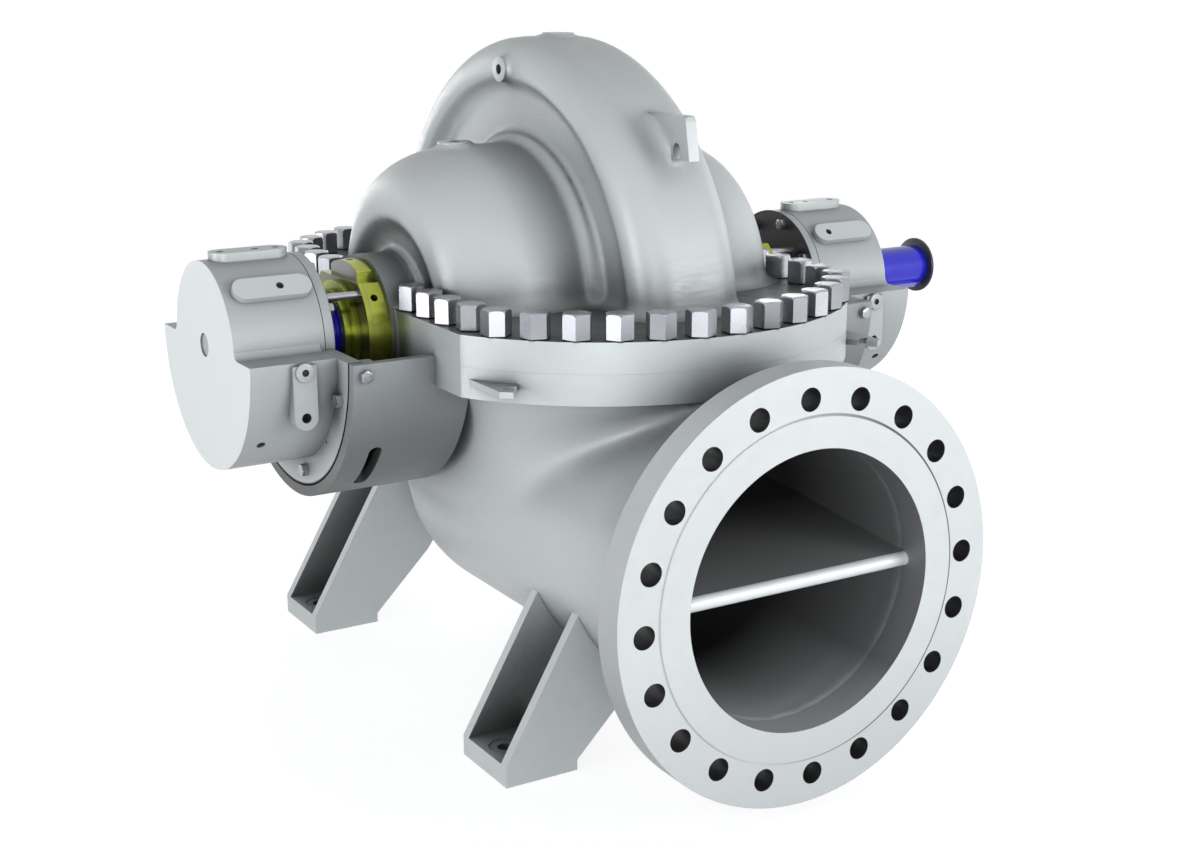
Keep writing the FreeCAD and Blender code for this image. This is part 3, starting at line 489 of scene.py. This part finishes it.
def housing_grey():
    """Brushed housings with painted light on the end faces and pads, and painted shade at the inner
    ends, on the flange's edge, at the vent, in the plug's socket and in hollows.
    """
    material, colour = machined("housing_grey", HOUSING, 0.15, 0.40)
    x, y, z = axes(material)
    along = work(material, "ABSOLUTE", x)
    from_shaft = reach_from(material, y, z, 0, SHAFT_HEIGHT)
    lit_pads = both(
        material, work(material, "GREATER_THAN", z, PAD_FOOT),
        work(material, "GREATER_THAN", from_shaft, HOUSING_RADIUS),
    )
    end = work(material, "GREATER_THAN", along, END_FACE_X)
    inner_end_shade = work(material, "LESS_THAN", along, HOUSING_INNER + 0.0005)
    edge = work(material, "GREATER_THAN", from_shaft, HOUSING_FLANGE_EDGE)
    from_vent = reach_from(material, work(material, "ABSOLUTE", y), z, VENT_Y, VENT_HEIGHT)
    vent = both(
        material, between(material, along, HOUSING_FACE - 0.0005, HOUSING_FACE + 0.0005),
        work(material, "LESS_THAN", from_vent, VENT_RADIUS),
    )
    from_plug = reach_from(material, along, z, PLUG_X, PLUG_HEIGHT)
    socket = both(
        material, work(material, "LESS_THAN", y, -0.236),
        work(material, "LESS_THAN", from_plug, SOCKET_RADIUS),
    )
    # Painted light on the pads and end faces; painted shade at the inner ends, on the flange's edge
    # where it sits in the bracket, in a dark spot standing in for the small vent hole, and in the
    # plug's socket
    for top, mask in (
        (scaled(LIT_FACE, 0.8), lit_pads), (LIT_FACE, end), (INNER_END_SHADE, inner_end_shade),
        (SHADE_DARK, edge), (SHADE_DARK, vent), (SHADE_DARK, socket),
    ):
        colour = over(material, colour, top, mask)
    # Painted shade in hollows
    paint(material, painted_hollow_shade(material, colour, 0.06, 0.10))
    return material


def bracket_grey():
    """The cradles under the housings, with painted shade towards the bottom, in hollows and in the
    gap where the housing's flange sits in them.
    """
    material, colour = machined("bracket_grey", BRACKET, 0.15, 0.42)
    x, y, z = axes(material)
    from_shaft = reach_from(material, y, z, 0, SHAFT_HEIGHT)
    gap_shade = both(
        material, work(material, "LESS_THAN", from_shaft, BRACKET_RIM_RADIUS),
        work(material, "GREATER_THAN", work(material, "ABSOLUTE", x), BRACKET_RIM_X),
        work(material, "LESS_THAN", z, SHAFT_HEIGHT - 0.0005),
    )
    # Painted shade: the brackets darken towards the bottom
    height = spread(material, z, 0.0, 1.0, 0.47, 0.72)
    colour = over(material, scaled(BRACKET, 0.26), colour, height)
    colour = over(material, colour, SHADE_DARK, gap_shade)
    paint(material, painted_hollow_shade(material, colour, 0.08, 0.25))
    return material


def foot_grey():
    material, colour = machined("foot_grey", FOOT, 0.10, 0.45, (1, 1, 1))
    # Painted shade in the feet's own hollows, such as the inner channel
    paint(material, painted_hollow_shade(material, colour, 0.30, 0.08, 0.50, True))
    return material


def flange_grey():
    """Light turned faces, with a painted shadow line round the raised face, and painted shade
    towards the bottom, on the lower rim, in the holes and in the bore.
    """
    material, colour = machined("flange_grey", FLANGE, 0.10, 0.42, (1, 1, 1))
    x, y, z = axes(material)
    # Painted shade: the flanges darken towards the bottom
    colour = over(material, scaled(FLANGE, 0.79), colour, spread(material, z, 0.0, 1.0, 0.02, 0.34))
    for height, line, holes, bore, edge, faces in (
        (BRANCH_HEIGHT, 0.306, (0.31, 0.36), 0.2492, 0.3852, (-0.8575, -0.80)),
        (DISCHARGE_HEIGHT, 0.232, (0.234, 0.276), 0.1752, 0.2892, (0.752, 0.7965)),
    ):
        reach = reach_from(material, x, z, 0, height)
        here = work(material, "LESS_THAN" if faces[0] < 0 else "GREATER_THAN", y, 0)
        # Painted shadow: a fine dark line round the raised face, fading towards -X
        groove_shadow = both(material, here, between(material, reach, line - 0.0026, line + 0.0022),
                      spread(material, x, 0.06, 1.0, -0.10, 0.15))
        colour = over(material, colour, scaled(FLANGE, 0.15), groove_shadow)
        # Painted shade in the bolt holes
        drilled_shade = both(material, between(material, y, *faces), between(material, reach, *holes))
        colour = over(material, colour, HOLE_SHADE, drilled_shade)
        # Painted shade on the rim, darker towards the bottom
        rim_shade = both(material, here, work(material, "GREATER_THAN", reach, edge),
                   spread(material, z, 0.95, 0.0, height - 0.15, height + 0.32))
        colour = over(material, colour, scaled(FLANGE, 0.54), rim_shade)
        # Painted shade in the bore, with painted light along the bottom of the suction one
        inside = both(material, here, work(material, "LESS_THAN", reach, bore))
        colour = over(material, colour, shaded_mouth(material, z), inside)
    paint(material, colour)
    return material


def splitter_grey():
    """A round nose in painted light, and behind it painted shade darkening into the passage."""
    material, colour = machined("splitter_grey", LIT_FACE, 0.10, 0.40, (1, 1, 1))
    y = axes(material)[1]
    behind = work(material, "GREATER_THAN", y, SPLITTER_NOSE_BACK)
    inside = passage_shade(material, SPLITTER_SIDE_SHADE, y, -0.80, -0.50)
    paint(material, over(material, colour, inside, behind))
    return material


def turned(name, colour, metallic, rough):
    """Turned metal with lathe rings about the shaft, and its uneven colour."""
    material = finish_named(name, colour, metallic, rough)
    mapping = node(material, "ShaderNodeMapping")
    mapping.inputs["Location"].default_value = (0, 0, -SHAFT_HEIGHT)
    wire(material, place_on(material), mapping.inputs["Vector"])
    rings = node(material, "ShaderNodeTexWave", wave_type="RINGS", rings_direction="X")
    rings.inputs["Scale"].default_value = 90.0
    rings.inputs["Distortion"].default_value = 0.6
    rings.inputs["Detail"].default_value = 2.0
    wire(material, mapping.outputs["Vector"], rings.inputs["Vector"])
    roughen(material, rings.outputs["Fac"], 0.0003, 0.35)
    return material, mottled(material, colour, 18.0, 0.85, 1.1)


def plain_turned(name, colour, metallic, rough):
    """Turned metal of one colour."""
    material, uneven = turned(name, colour, metallic, rough)
    paint(material, uneven)
    return material


OLIVE = (0.38, 0.43, 0.06)
# The gland's turned face: a duller olive of its own, darker still by painted shade
OLIVE_FACE = (0.16, 0.165, 0.09)
LOBE_FACE = (0.24, 0.24, 0.235)
GLAND_FACE_X = 0.470
LOBE_FACE_X = 0.460
GLAND_HUB_RADIUS = 0.0975


def olive_metal():
    """Yellow rims, duller turned faces darkened further by painted shade, grey faces on the
    recessed lobes, and painted shade in hollows.
    """
    material, colour = turned("olive_metal", OLIVE, 0.80, 0.24)
    x, y, z = axes(material)
    along = work(material, "ABSOLUTE", x)
    from_shaft = reach_from(material, y, z, 0, SHAFT_HEIGHT)
    face = between(material, along, GLAND_FACE_X - 0.0005, GLAND_FACE_X + 0.0005)
    lobe = both(
        material, between(material, along, LOBE_FACE_X - 0.0005, LOBE_FACE_X + 0.0005),
        work(material, "GREATER_THAN", from_shaft, GLAND_HUB_RADIUS),
    )
    colour = over(material, colour, OLIVE_FACE, face)
    colour = over(material, colour, LOBE_FACE, lobe)
    # Painted shade in hollows
    paint(material, painted_hollow_shade(material, colour, 0.05, 0.25))
    return material


PLATED = (0.38, 0.39, 0.42)
CASING_NUTS_END = 0.45


def bright_steel():
    """Plated nuts and bolts, with a painted shadow line where a nut stands on the flange."""
    material = finish_named("bright_steel", PLATED, 0.85, 0.26)
    x, _, z = axes(material)
    # Painted shadow round the foot of each casing nut
    foot = both(
        material, between(material, z, FLANGE_TOP - 0.001, FLANGE_TOP + 0.0024),
        work(material, "LESS_THAN", work(material, "ABSOLUTE", x), CASING_NUTS_END),
    )
    paint(material, over(material, mottled(material, PLATED, 30.0, 0.97, 1.02), SHADE_DARK, foot))
    wire(material, spread(material, noise(material, 30.0, 1.0), 0.24, 0.28),
         shader_of(material).inputs["Roughness"])
    return material


grey = grey_casting()
housing = housing_grey()
olive = olive_metal()
nut_steel = bright_steel()
blue = plain_turned("blue_paint", (0.012, 0.014, 0.66), 0.0, 0.25)
shader_of(blue).inputs["Coat Weight"].default_value = 0.3
dark = plain_turned("dark_steel", (0.05, 0.052, 0.06), 0.6, 0.35)
flange = flange_grey()
FINISHES = (
    ("bearing_housing", housing), ("bearing_bracket", bracket_grey()), ("foot", foot_grey()),
    ("seal_plate", olive), ("gland", olive), ("suction_flange", flange),
    ("discharge_flange", flange), ("suction_splitter", splitter_grey()), ("shaft", blue),
    ("end_disc", dark),
)
for name, piece in frame["nodes"].items():
    finish = next((made for start, made in FINISHES if name.startswith(start)), grey)
    for slot in piece.material_slots:
        slot.material = finish


# Castings: the CAD shapes melted together with soft hollows, then machined where they were cut

SPLIT_GAP = 0.0001
FLANGE_REACH = 0.420
BOW_RADIUS = 0.476
BOW_OFFSET = 0.176
CORNER_ROUND = 0.016
NECK_REACH = 0.425
BORE_RADIUS = 0.061
ALLOWANCE = 0.020
VOLUTE_AXIS_Y = 0.043
FLANK_BOSS_HEIGHT = 1.222
CHAMBER_AXIS_Y = -0.003
CHAMBER_AXIS_HEIGHT = 0.793
CHAMBER_BOSS_X = 0.222
CHAMBER_BOSS_FOOT, CHAMBER_BOSS_TOP = 1.040, 1.092
BOSS_HOLE_RADIUS = 0.010
LIP_LEFT, LIP_RIGHT = -0.084, 0.128
LIP_RADIUS, LIP_ROUND = 0.297, 0.012
COVE_X, COVE_RADIUS, COVE_ROUND = 0.370, 0.171, 0.031
BEAD_X, BEAD_RADIUS, BEAD_ROUND = 0.341, 0.148, 0.007
SUCTION_NECK_END, DISCHARGE_NECK_END = -0.80, 0.751
LUG_LEFT, LUG_RIGHT = 0.020, 0.042
LUG_BOTTOM, LUG_TOP = 1.080, 1.159
LUG_REACH = (0.300, 0.500)
LUG_CORNER = 0.476
LUG_ROUND = 0.010
NOTCH_REACH, NOTCH_HEIGHT, NOTCH_RADIUS = 0.449, 0.019, 0.011
EAR_LOW, EAR_HIGH = SHAFT_HEIGHT - 0.032, SHAFT_HEIGHT - 0.021
EAR_INNER, EAR_OUTER = (0.330, 0.390), (0.411, 0.541)
EAR_CORNER, EAR_ROOT = (0.393, 0.541), (0.357, 0.491)
EAR_OUTWARD, EAR_END = (-0.811, 0.584), (0.664, 0.747)
EAR_EYE_RADIUS, EAR_EYE_DEPTH = 0.008, 0.016


def flange_block(name, low, high, extra=0.0):
    """The outline of the split flange: flat ends, bowed front and back, rounded corners."""
    height = high - low
    reach = FLANGE_REACH + extra
    body = block(name, (-reach, -BOW_OFFSET, low), (reach, BOW_OFFSET, high))
    for side in (-1, 1):
        middle = (0, side * BOW_OFFSET, low + height / 2)
        bow = cylinder("bow", BOW_RADIUS + extra, height, middle, sides=256)
        shape(body, bow, "UNION")
    shape(body, block("ends", (-reach, -2, low - 1), (reach, 2, high + 1)), "INTERSECT")
    corner = math.sqrt((BOW_RADIUS + extra) ** 2 - reach ** 2) + BOW_OFFSET
    return bevel_edges(body, CORNER_ROUND, 8, lambda a, b: (
        abs(a.z - b.z) > height / 2
        and min(abs(a.x), abs(b.x)) > reach - 0.0002
        and abs(abs(a.y) - corner) < 0.002
    ))


def lying_cylinder(name, radius, first, last, y=0, z=SHAFT_HEIGHT, sides=128):
    """A cylinder about a line along X."""
    middle = ((first + last) / 2, y, z)
    return cylinder(name, radius, last - first, middle, (0, RIGHT_ANGLE, 0), sides)


def machining_block(name, low, high):
    """What is left of a casing half after its flange edge and neck ends are turned and milled."""
    tool = flange_block(name, low, high)
    neck = lying_cylinder("neck", NECK_RADIUS + 0.0015, -NECK_REACH, NECK_REACH)
    shape(neck, block("half", (-1, -1, low), (1, 1, high)), "INTERSECT")
    return shape(tool, neck, "UNION")


def above_split(piece):
    low = SHAFT_HEIGHT + SPLIT_GAP
    return shape(piece, block("above", (-1, -1, low), (1, 1, low + 1)), "INTERSECT")


def boss(name, radius, foot, top, x, y):
    """A standing boss with a broken edge round its top."""
    made = cylinder(name, radius, top - foot, (x, y, (foot + top) / 2), sides=64)
    return bevel_edges(made, 0.0015, 2, lambda a, b: min(a.z, b.z) > top - 0.0001)


def flank_boss():
    low, high = -0.100, -0.040
    made = lying_cylinder(
        "flank_boss", 0.025, low, high, VOLUTE_AXIS_Y, FLANK_BOSS_HEIGHT, sides=64
    )
    return bevel_edges(made, 0.0015, 2, lambda a, b: max(a.x, b.x) < low + 0.0001)


def lug(side):
    """A lifting lug that stands across the volute, seen from the shaft's end as a wedge."""
    near, far = (VOLUTE_AXIS_Y + side * reach for reach in LUG_REACH)
    plate = block("lug", (LUG_LEFT, near, LUG_BOTTOM), (LUG_RIGHT, far, LUG_TOP))
    corner = VOLUTE_AXIS_Y + side * LUG_CORNER
    slice_off(plate, (0, corner, LUG_TOP), (0, side * 0.079, 0.014))
    bevel_edges(plate, LUG_ROUND, 6, lambda a, b: (
        min(a.z, b.z) > LUG_TOP - 0.0001 and max(abs(a.y - corner), abs(b.y - corner)) < 0.0002
    ))
    return plate


def lug_notch(side):
    """The notch that opens downwards in a lug."""
    middle = VOLUTE_AXIS_Y + side * NOTCH_REACH
    crest = LUG_BOTTOM + NOTCH_HEIGHT
    left, right = LUG_LEFT - 0.001, LUG_RIGHT + 0.001
    eye = lying_cylinder("eye", NOTCH_RADIUS, left, right, middle, crest, sides=48)
    slot = block("slot", (left, middle - NOTCH_RADIUS, LUG_BOTTOM - 0.002),
                 (right, middle + NOTCH_RADIUS, crest))
    return shape(eye, slot, "UNION")


def ear(hand, face):
    """A hooked ear at a corner of the split flange, notched for a sling."""
    side = Vector((hand, face))
    corner, root = side * Vector(EAR_CORNER), side * Vector(EAR_ROOT)
    plate = block("ear", (hand * EAR_INNER[0], face * EAR_INNER[1], EAR_LOW),
                  (hand * EAR_OUTER[0], face * EAR_OUTER[1], EAR_HIGH))
    outward = side * Vector(EAR_OUTWARD)
    slice_off(plate, (*corner, 0), (*outward, 0))
    slice_off(plate, (*corner, 0), (*(side * Vector(EAR_END)), 0))
    mouth = (corner + root) / 2
    seat = mouth - outward * EAR_EYE_DEPTH
    eye = cylinder("eye", EAR_EYE_RADIUS, 0.020, (*seat, (EAR_LOW + EAR_HIGH) / 2), sides=32)
    slot = bar("slot", mouth + outward * 0.004, seat, 2 * EAR_EYE_RADIUS,
               EAR_LOW - 0.004, EAR_HIGH + 0.004)
    return shape(plate, shape(eye, slot, "UNION"), "DIFFERENCE")


def upper_casing():
    face = SHAFT_HEIGHT + SPLIT_GAP
    soft = melt(traced("soft", "upper_casing"), 0.008, 34)
    body = joined(
        traced("upper_casing_casting", "upper_casing"), soft,
        flange_block("slab", SHAFT_HEIGHT - ALLOWANCE, FLANGE_TOP, ALLOWANCE),
        lying_cylinder("neck", NECK_RADIUS, -NECK_REACH - ALLOWANCE, NECK_REACH + ALLOWANCE),
        ring("lip_left", LIP_RADIUS, LIP_ROUND, (LIP_LEFT, CHAMBER_AXIS_Y, CHAMBER_AXIS_HEIGHT)),
        ring("lip_right", LIP_RADIUS, LIP_ROUND, (LIP_RIGHT, CHAMBER_AXIS_Y, CHAMBER_AXIS_HEIGHT)),
    )
    melt(body, 0.006, 0)
    for hand in (-1, 1):
        cove = ring("cove", COVE_RADIUS, COVE_ROUND, (hand * COVE_X, 0, SHAFT_HEIGHT))
        shape(body, cove, "DIFFERENCE", "MANIFOLD")
    finish_with(body, "SMOOTH", factor=0.5, iterations=5)
    soften_where(body, 30, lambda place: (
        abs(place.x) > 0.30 and 0.150 < math.hypot(place.y, place.z - SHAFT_HEIGHT) < 0.235))
    shape(body, machining_block("tool", face, 1.5), "INTERSECT", "MANIFOLD")
    additions = [
        boss("top_boss", 0.031, 1.230, 1.291, 0.022, 0.020), flank_boss(), lug(-1), lug(1),
    ]
    drillings = [
        lug_notch(-1), lug_notch(1), lying_cylinder("bore", BORE_RADIUS, -1, 1),
        lying_cylinder(
            "flank_hole", BOSS_HOLE_RADIUS, -0.2, -0.063, VOLUTE_AXIS_Y, FLANK_BOSS_HEIGHT
        ),
    ]
    for hand in (-1, 1):
        place = hand * CHAMBER_BOSS_X, CHAMBER_AXIS_Y
        bead = ring("bead", BEAD_RADIUS, BEAD_ROUND, (hand * BEAD_X, 0, SHAFT_HEIGHT))
        additions.append(above_split(bead))
        additions.append(
            boss("chamber_boss", 0.033, CHAMBER_BOSS_FOOT, CHAMBER_BOSS_TOP, *place)
        )
        drillings.append(cylinder(
            "chamber_hole", BOSS_HOLE_RADIUS, 0.050, (*place, CHAMBER_BOSS_TOP), sides=48
        ))
    for other in additions:
        shape(body, other, "UNION", "MANIFOLD")
    for other in drillings:
        shape(body, other, "DIFFERENCE", "MANIFOLD")
    return smooth_edges(body, 35)


def lower_casing():
    face = SHAFT_HEIGHT - SPLIT_GAP
    under = SHAFT_HEIGHT - FLANGE_HALF
    bowl = traced("soft", "lower_casing")
    below = block("below", (-1, SUCTION_NECK_END + 0.00001, 0),
                  (1, DISCHARGE_NECK_END - 0.00001, under + 0.0005))
    shape(bowl, below, "INTERSECT")
    melt(bowl, 0.010, 70)
    body = joined(
        traced("lower_casing_casting", "lower_casing"), bowl,
        flange_block("slab", under, SHAFT_HEIGHT + ALLOWANCE, ALLOWANCE),
        lying_cylinder("neck", NECK_RADIUS, -NECK_REACH - ALLOWANCE, NECK_REACH + ALLOWANCE),
    )
    melt(body, 0.008, 4)
    tool = machining_block("tool", under - 0.001, face)
    branches = block("branches", (-0.45, SUCTION_NECK_END, 0),
                     (0.45, DISCHARGE_NECK_END, under - 0.0005))
    shape(tool, branches, "UNION")
    shape(body, tool, "INTERSECT", "MANIFOLD")
    for hand in (-1, 1):
        for front in (-1, 1):
            shape(body, ear(hand, front), "UNION", "MANIFOLD")
    shape(body, lying_cylinder("bore", BORE_RADIUS, -1, 1), "DIFFERENCE", "MANIFOLD")
    return smooth_edges(body, 35)


# Casing nuts


NUT_FLATS = 0.047
NUT_HEIGHT = 0.047
NUT_ROW_RADIUS = 0.453
ROW_CENTRE_Y = 0.176
NUT_STEP = math.radians(9.1)
# The nuts along a flat end: place from the middle of the flange, and turn
END_NUTS = ((0.382, 0.370, 1.2), (0.391, 0.299, 1.5), (0.391, 0.226, 1.57), (0.391, 0.154, 1.57))


def hex_blank(name, flats, height, crown, foot=0.0):
    """A hexagon with its corners turned off at the top, and at the foot, standing on z = 0."""
    corners = flats / math.sqrt(3)
    blank = cylinder(name, corners, height, (0, 0, height / 2), sides=6)
    turning = cylinder("turning", corners + 0.0001, height, (0, 0, height / 2), sides=48)
    bevel_edges(turning, crown, 2, lambda a, b: min(a.z, b.z) > height - 0.00001)
    if foot:
        bevel_edges(turning, foot, 1, lambda a, b: max(a.z, b.z) < 0.00001)
    return shape(blank, turning, "INTERSECT")


def copy_of(piece, name, at, turn=(0, 0, 0)):
    pick_up(piece)
    bpy.ops.object.duplicate()
    copy = fresh(name)
    copy.rotation_euler = turn
    copy.location = at
    return settle(copy)


def fit(piece, material, body="casing"):
    piece.data.materials.clear()
    piece.data.materials.append(material)
    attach(piece, body)
    return piece


def nut_places():
    """Where the nuts stand round the split flange, each with its turn."""
    places = []
    for side in (-1, 1):
        for step in range(-6, 7):
            angle = step * NUT_STEP
            x = NUT_ROW_RADIUS * math.sin(angle)
            y = side * (ROW_CENTRE_Y + NUT_ROW_RADIUS * math.cos(angle))
            places.append((x, y, -side * angle))
        for hand in (-1, 1):
            for x, y, turn in END_NUTS:
                places.append((hand * x, side * y, hand * turn))
    return places


for make, cad_node in ((upper_casing, "upper_casing"), (lower_casing, "lower_casing")):
    casting = fit(make(), grey)
    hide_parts(cad_node)

nut = hex_blank("nut", NUT_FLATS, NUT_HEIGHT, 0.0055, 0.002)
smooth_edges(nut, 25)
for number, (x, y, turn) in enumerate(nut_places(), start=1):
    copy = copy_of(nut, "casing_nut_%02d" % number, (x, y, FLANGE_TOP), (0, 0, turn))
    fit(copy, nut_steel)
bpy.data.objects.remove(nut)


# Bolts of the bearing housings and brackets, gland studs, plugs, end disc

AT_HAND = {-1: "left", 1: "right"}
HOUSING_BOLT_CIRCLE = 0.253
HOUSING_BOLT_DEGREES = (17, 75)
BRACKET_BOLT_X, BRACKET_BOLT_Y, BRACKET_BOLT_HEIGHT = 0.556, 0.3025, 0.729
STUD_FOOT_X, STUD_Y, STUD_RISE = 0.465, 0.084, 0.080
STUD_RADIUS, STUD_LENGTH = 0.0075, 0.084
COVER_BOLT_CIRCLE = 0.134
COVER_BOLT_DEGREES = (-61, -16, 29, 74)


def below_front(degrees, radius, front):
    """A place at a radius from the shaft, turned down from the front or the back."""
    angle = math.radians(degrees)
    return front * radius * math.cos(angle), SHAFT_HEIGHT - radius * math.sin(angle)


def lay(piece, name, x, y, z, hand):
    """A copy of a standing piece laid along X, its top towards the left or right."""
    return copy_of(piece, name, (x, y, z), (0, hand * RIGHT_ANGLE, 0))


bolt = hex_blank("bolt", 0.021, 0.012, 0.0016)
smooth_edges(bolt, 25)
stud = cylinder("stud", STUD_RADIUS, STUD_LENGTH, (0, 0, STUD_LENGTH / 2), sides=32)
bevel_edges(stud, 0.001, 2, lambda a, b: min(a.z, b.z) > STUD_LENGTH - 0.0001)
smooth_edges(stud, 25)
for hand, hand_name in AT_HAND.items():
    number = 0
    for front, front_number in ((-1, 1), (1, 2)):
        for degrees in HOUSING_BOLT_DEGREES:
            number += 1
            y, z = below_front(degrees, HOUSING_BOLT_CIRCLE, front)
            name = "housing_bolt_%s_%d" % (hand_name, number)
            fit(lay(bolt, name, hand * HOUSING_FACE, y, z, hand), nut_steel)
        side_bolt = copy_of(
            bolt, "bracket_bolt_%s_%d" % (hand_name, front_number),
            (hand * BRACKET_BOLT_X, front * BRACKET_BOLT_Y, BRACKET_BOLT_HEIGHT),
            (-front * RIGHT_ANGLE, 0, 0),
        )
        fit(side_bolt, nut_steel)
        y, z = front * STUD_Y, SHAFT_HEIGHT - front * STUD_RISE
        name = "gland_stud_%s_%d" % (hand_name, front_number)
        fit(lay(stud, name, hand * STUD_FOOT_X, y, z, hand), nut_steel)
    for number, degrees in enumerate(COVER_BOLT_DEGREES, start=1):
        angle = math.radians(degrees)
        y = COVER_BOLT_CIRCLE * math.sin(angle)
        z = SHAFT_HEIGHT + COVER_BOLT_CIRCLE * math.cos(angle)
        name = "cover_bolt_%s_%d" % (hand_name, number)
        fit(lay(bolt, name, hand * HOUSING_INNER, y, z, -hand), nut_steel)
for used in (bolt, stud):
    bpy.data.objects.remove(used)


def strip_plug(name, x):
    """A round plug with a hexagon socket on the strip of a lower housing."""
    plug = cylinder("plug", 0.017, 0.006, (0, 0, 0.001), sides=48)
    bevel_edges(plug, 0.001, 2, lambda a, b: min(a.z, b.z) > 0.0039)
    shape(plug, cylinder("socket", 0.0065, 0.006, (0, 0, 0.004), sides=6), "DIFFERENCE")
    smooth_edges(plug, 25)
    placed = copy_of(plug, name, (x, -0.239, PLUG_HEIGHT), (RIGHT_ANGLE, 0, 0))
    bpy.data.objects.remove(plug)
    return placed


for hand, hand_name in AT_HAND.items():
    fit(strip_plug("strip_plug_" + hand_name, hand * PLUG_X), housing)


DISC_RADIUS = 0.061
DISC_INNER_FACE, DISC_OUTER_FACE = 0.955, 0.9615


def end_disc():
    """The retaining disc on the free shaft end, with its edges broken."""
    disc = lying_cylinder("end_disc_turned", DISC_RADIUS, DISC_INNER_FACE, DISC_OUTER_FACE)
    bevel_edges(disc, 0.001, 2, lambda a, b: abs(a.x - b.x) < 0.0001)
    return smooth_edges(disc, 25)


disc = fit(end_disc(), dark, "rotor")
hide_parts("end_disc")
end_bolt = hex_blank("end_bolt", 0.030, 0.0055, 0.001)
smooth_edges(end_bolt, 25)
fit(lay(end_bolt, "shaft_end_bolt", DISC_OUTER_FACE, 0, SHAFT_HEIGHT, 1), nut_steel,
    "rotor")
bpy.data.objects.remove(end_bolt)


# Floor, light and camera


def seen_directly(tree):
    """1 for what is looked at, straight or by way of metal or glass, 0 for light that falls."""
    path = tree.nodes.new("ShaderNodeLightPath")
    seen = path.outputs["Is Camera Ray"]
    for ray in ("Is Glossy Ray", "Is Transmission Ray"):
        either = tree.nodes.new("ShaderNodeMath")
        either.operation = "MAXIMUM"
        tree.links.new(seen, either.inputs[0])
        tree.links.new(path.outputs[ray], either.inputs[1])
        seen = either.outputs["Value"]
    return seen


def floor_finish():
    material = finish_named("pale_floor", (0.30, 0.305, 0.31), 0.0, 0.6)
    shader_of(material).inputs["Emission Color"].default_value = (1, 1, 1, 1)
    lift = work(material, "MULTIPLY", seen_directly(material.node_tree), 0.84)
    wire(material, lift, shader_of(material).inputs["Emission Strength"])
    return material


put_down_all()
bpy.ops.mesh.primitive_plane_add(size=240, location=(0, 0, -0.0005))
floor = fresh("floor")
floor.data.materials.append(floor_finish())


def studio():
    """Soft light from the front and the right, weaker from above, and a white background."""
    world = bpy.data.worlds.new("studio")
    bpy.context.scene.world = world
    world.use_nodes = True
    tree = world.node_tree
    sky = tree.nodes["Background"]
    seen = seen_directly(tree)
    wire(world, over(world, (0.96, 0.98, 1.0), (1, 1, 1), seen), sky.inputs["Color"])
    direction = tree.nodes.new("ShaderNodeTexCoord").outputs["Generated"]
    total = 0.0
    towards = node(world, "ShaderNodeSeparateXYZ")
    wire(world, direction, towards.inputs["Vector"])
    for way, sign, strength in (("X", 1.0, 1.6), ("Y", -1.0, 2.3)):
        ahead = work(world, "MAXIMUM", work(world, "MULTIPLY", towards.outputs[way], sign), 0.0)
        glow = work(world, "MULTIPLY", work(world, "MULTIPLY", ahead, ahead), strength)
        total = work(world, "ADD", glow, total)
    lower = work(world, "SUBTRACT", 1.0, work(world, "MAXIMUM", towards.outputs["Z"], 0.0))
    total = work(world, "MULTIPLY", total, work(world, "POWER", lower, 3.0))
    white = node(world, "ShaderNodeMix", data_type="FLOAT")
    give(world, seen, white.inputs["Factor"])
    give(world, total, white.inputs["A"])
    give(world, 1.0, white.inputs["B"])
    wire(world, white.outputs["Result"], sky.inputs["Strength"])


def lamp(name, place, power):
    put_down_all()
    bpy.ops.object.light_add(type="AREA", location=place)
    light = fresh(name)
    light.data.shape = "SQUARE"
    light.data.size = 2.0
    light.data.energy = power
    aim = Vector((0, 0, 0.6)) - Vector(place)
    light.rotation_euler = aim.to_track_quat("-Z", "Y").to_euler()


studio()
lamp("front_right_light", (2.5, -4.5, 1.4), 82)
lamp("front_light", (0.5, -4.5, 3.0), 8)
lamp("left_low_light", (-5.0, -0.5, 1.0), 86)
lamp("left_light", (-4.0, -1.5, 3.5), 8)
lamp("right_light", (5.0, 0.0, 2.0), 14)
lamp("back_light", (-0.8, 5.2, 1.2), 40)
lamp("back_right_light", (3.0, 4.5, 1.2), 40)
lamp("near_light", (-2.5, -4.5, 1.0), 60)

put_down_all()
bpy.ops.object.camera_add(
    location=(-1.755, -3.05, 1.423), rotation=(math.radians(75.296), 0, math.radians(-31.398))
)
camera = fresh("camera")
camera.data.lens = 52.7
bpy.context.scene.camera = camera

bpy.context.scene.view_settings.view_transform = "Standard"
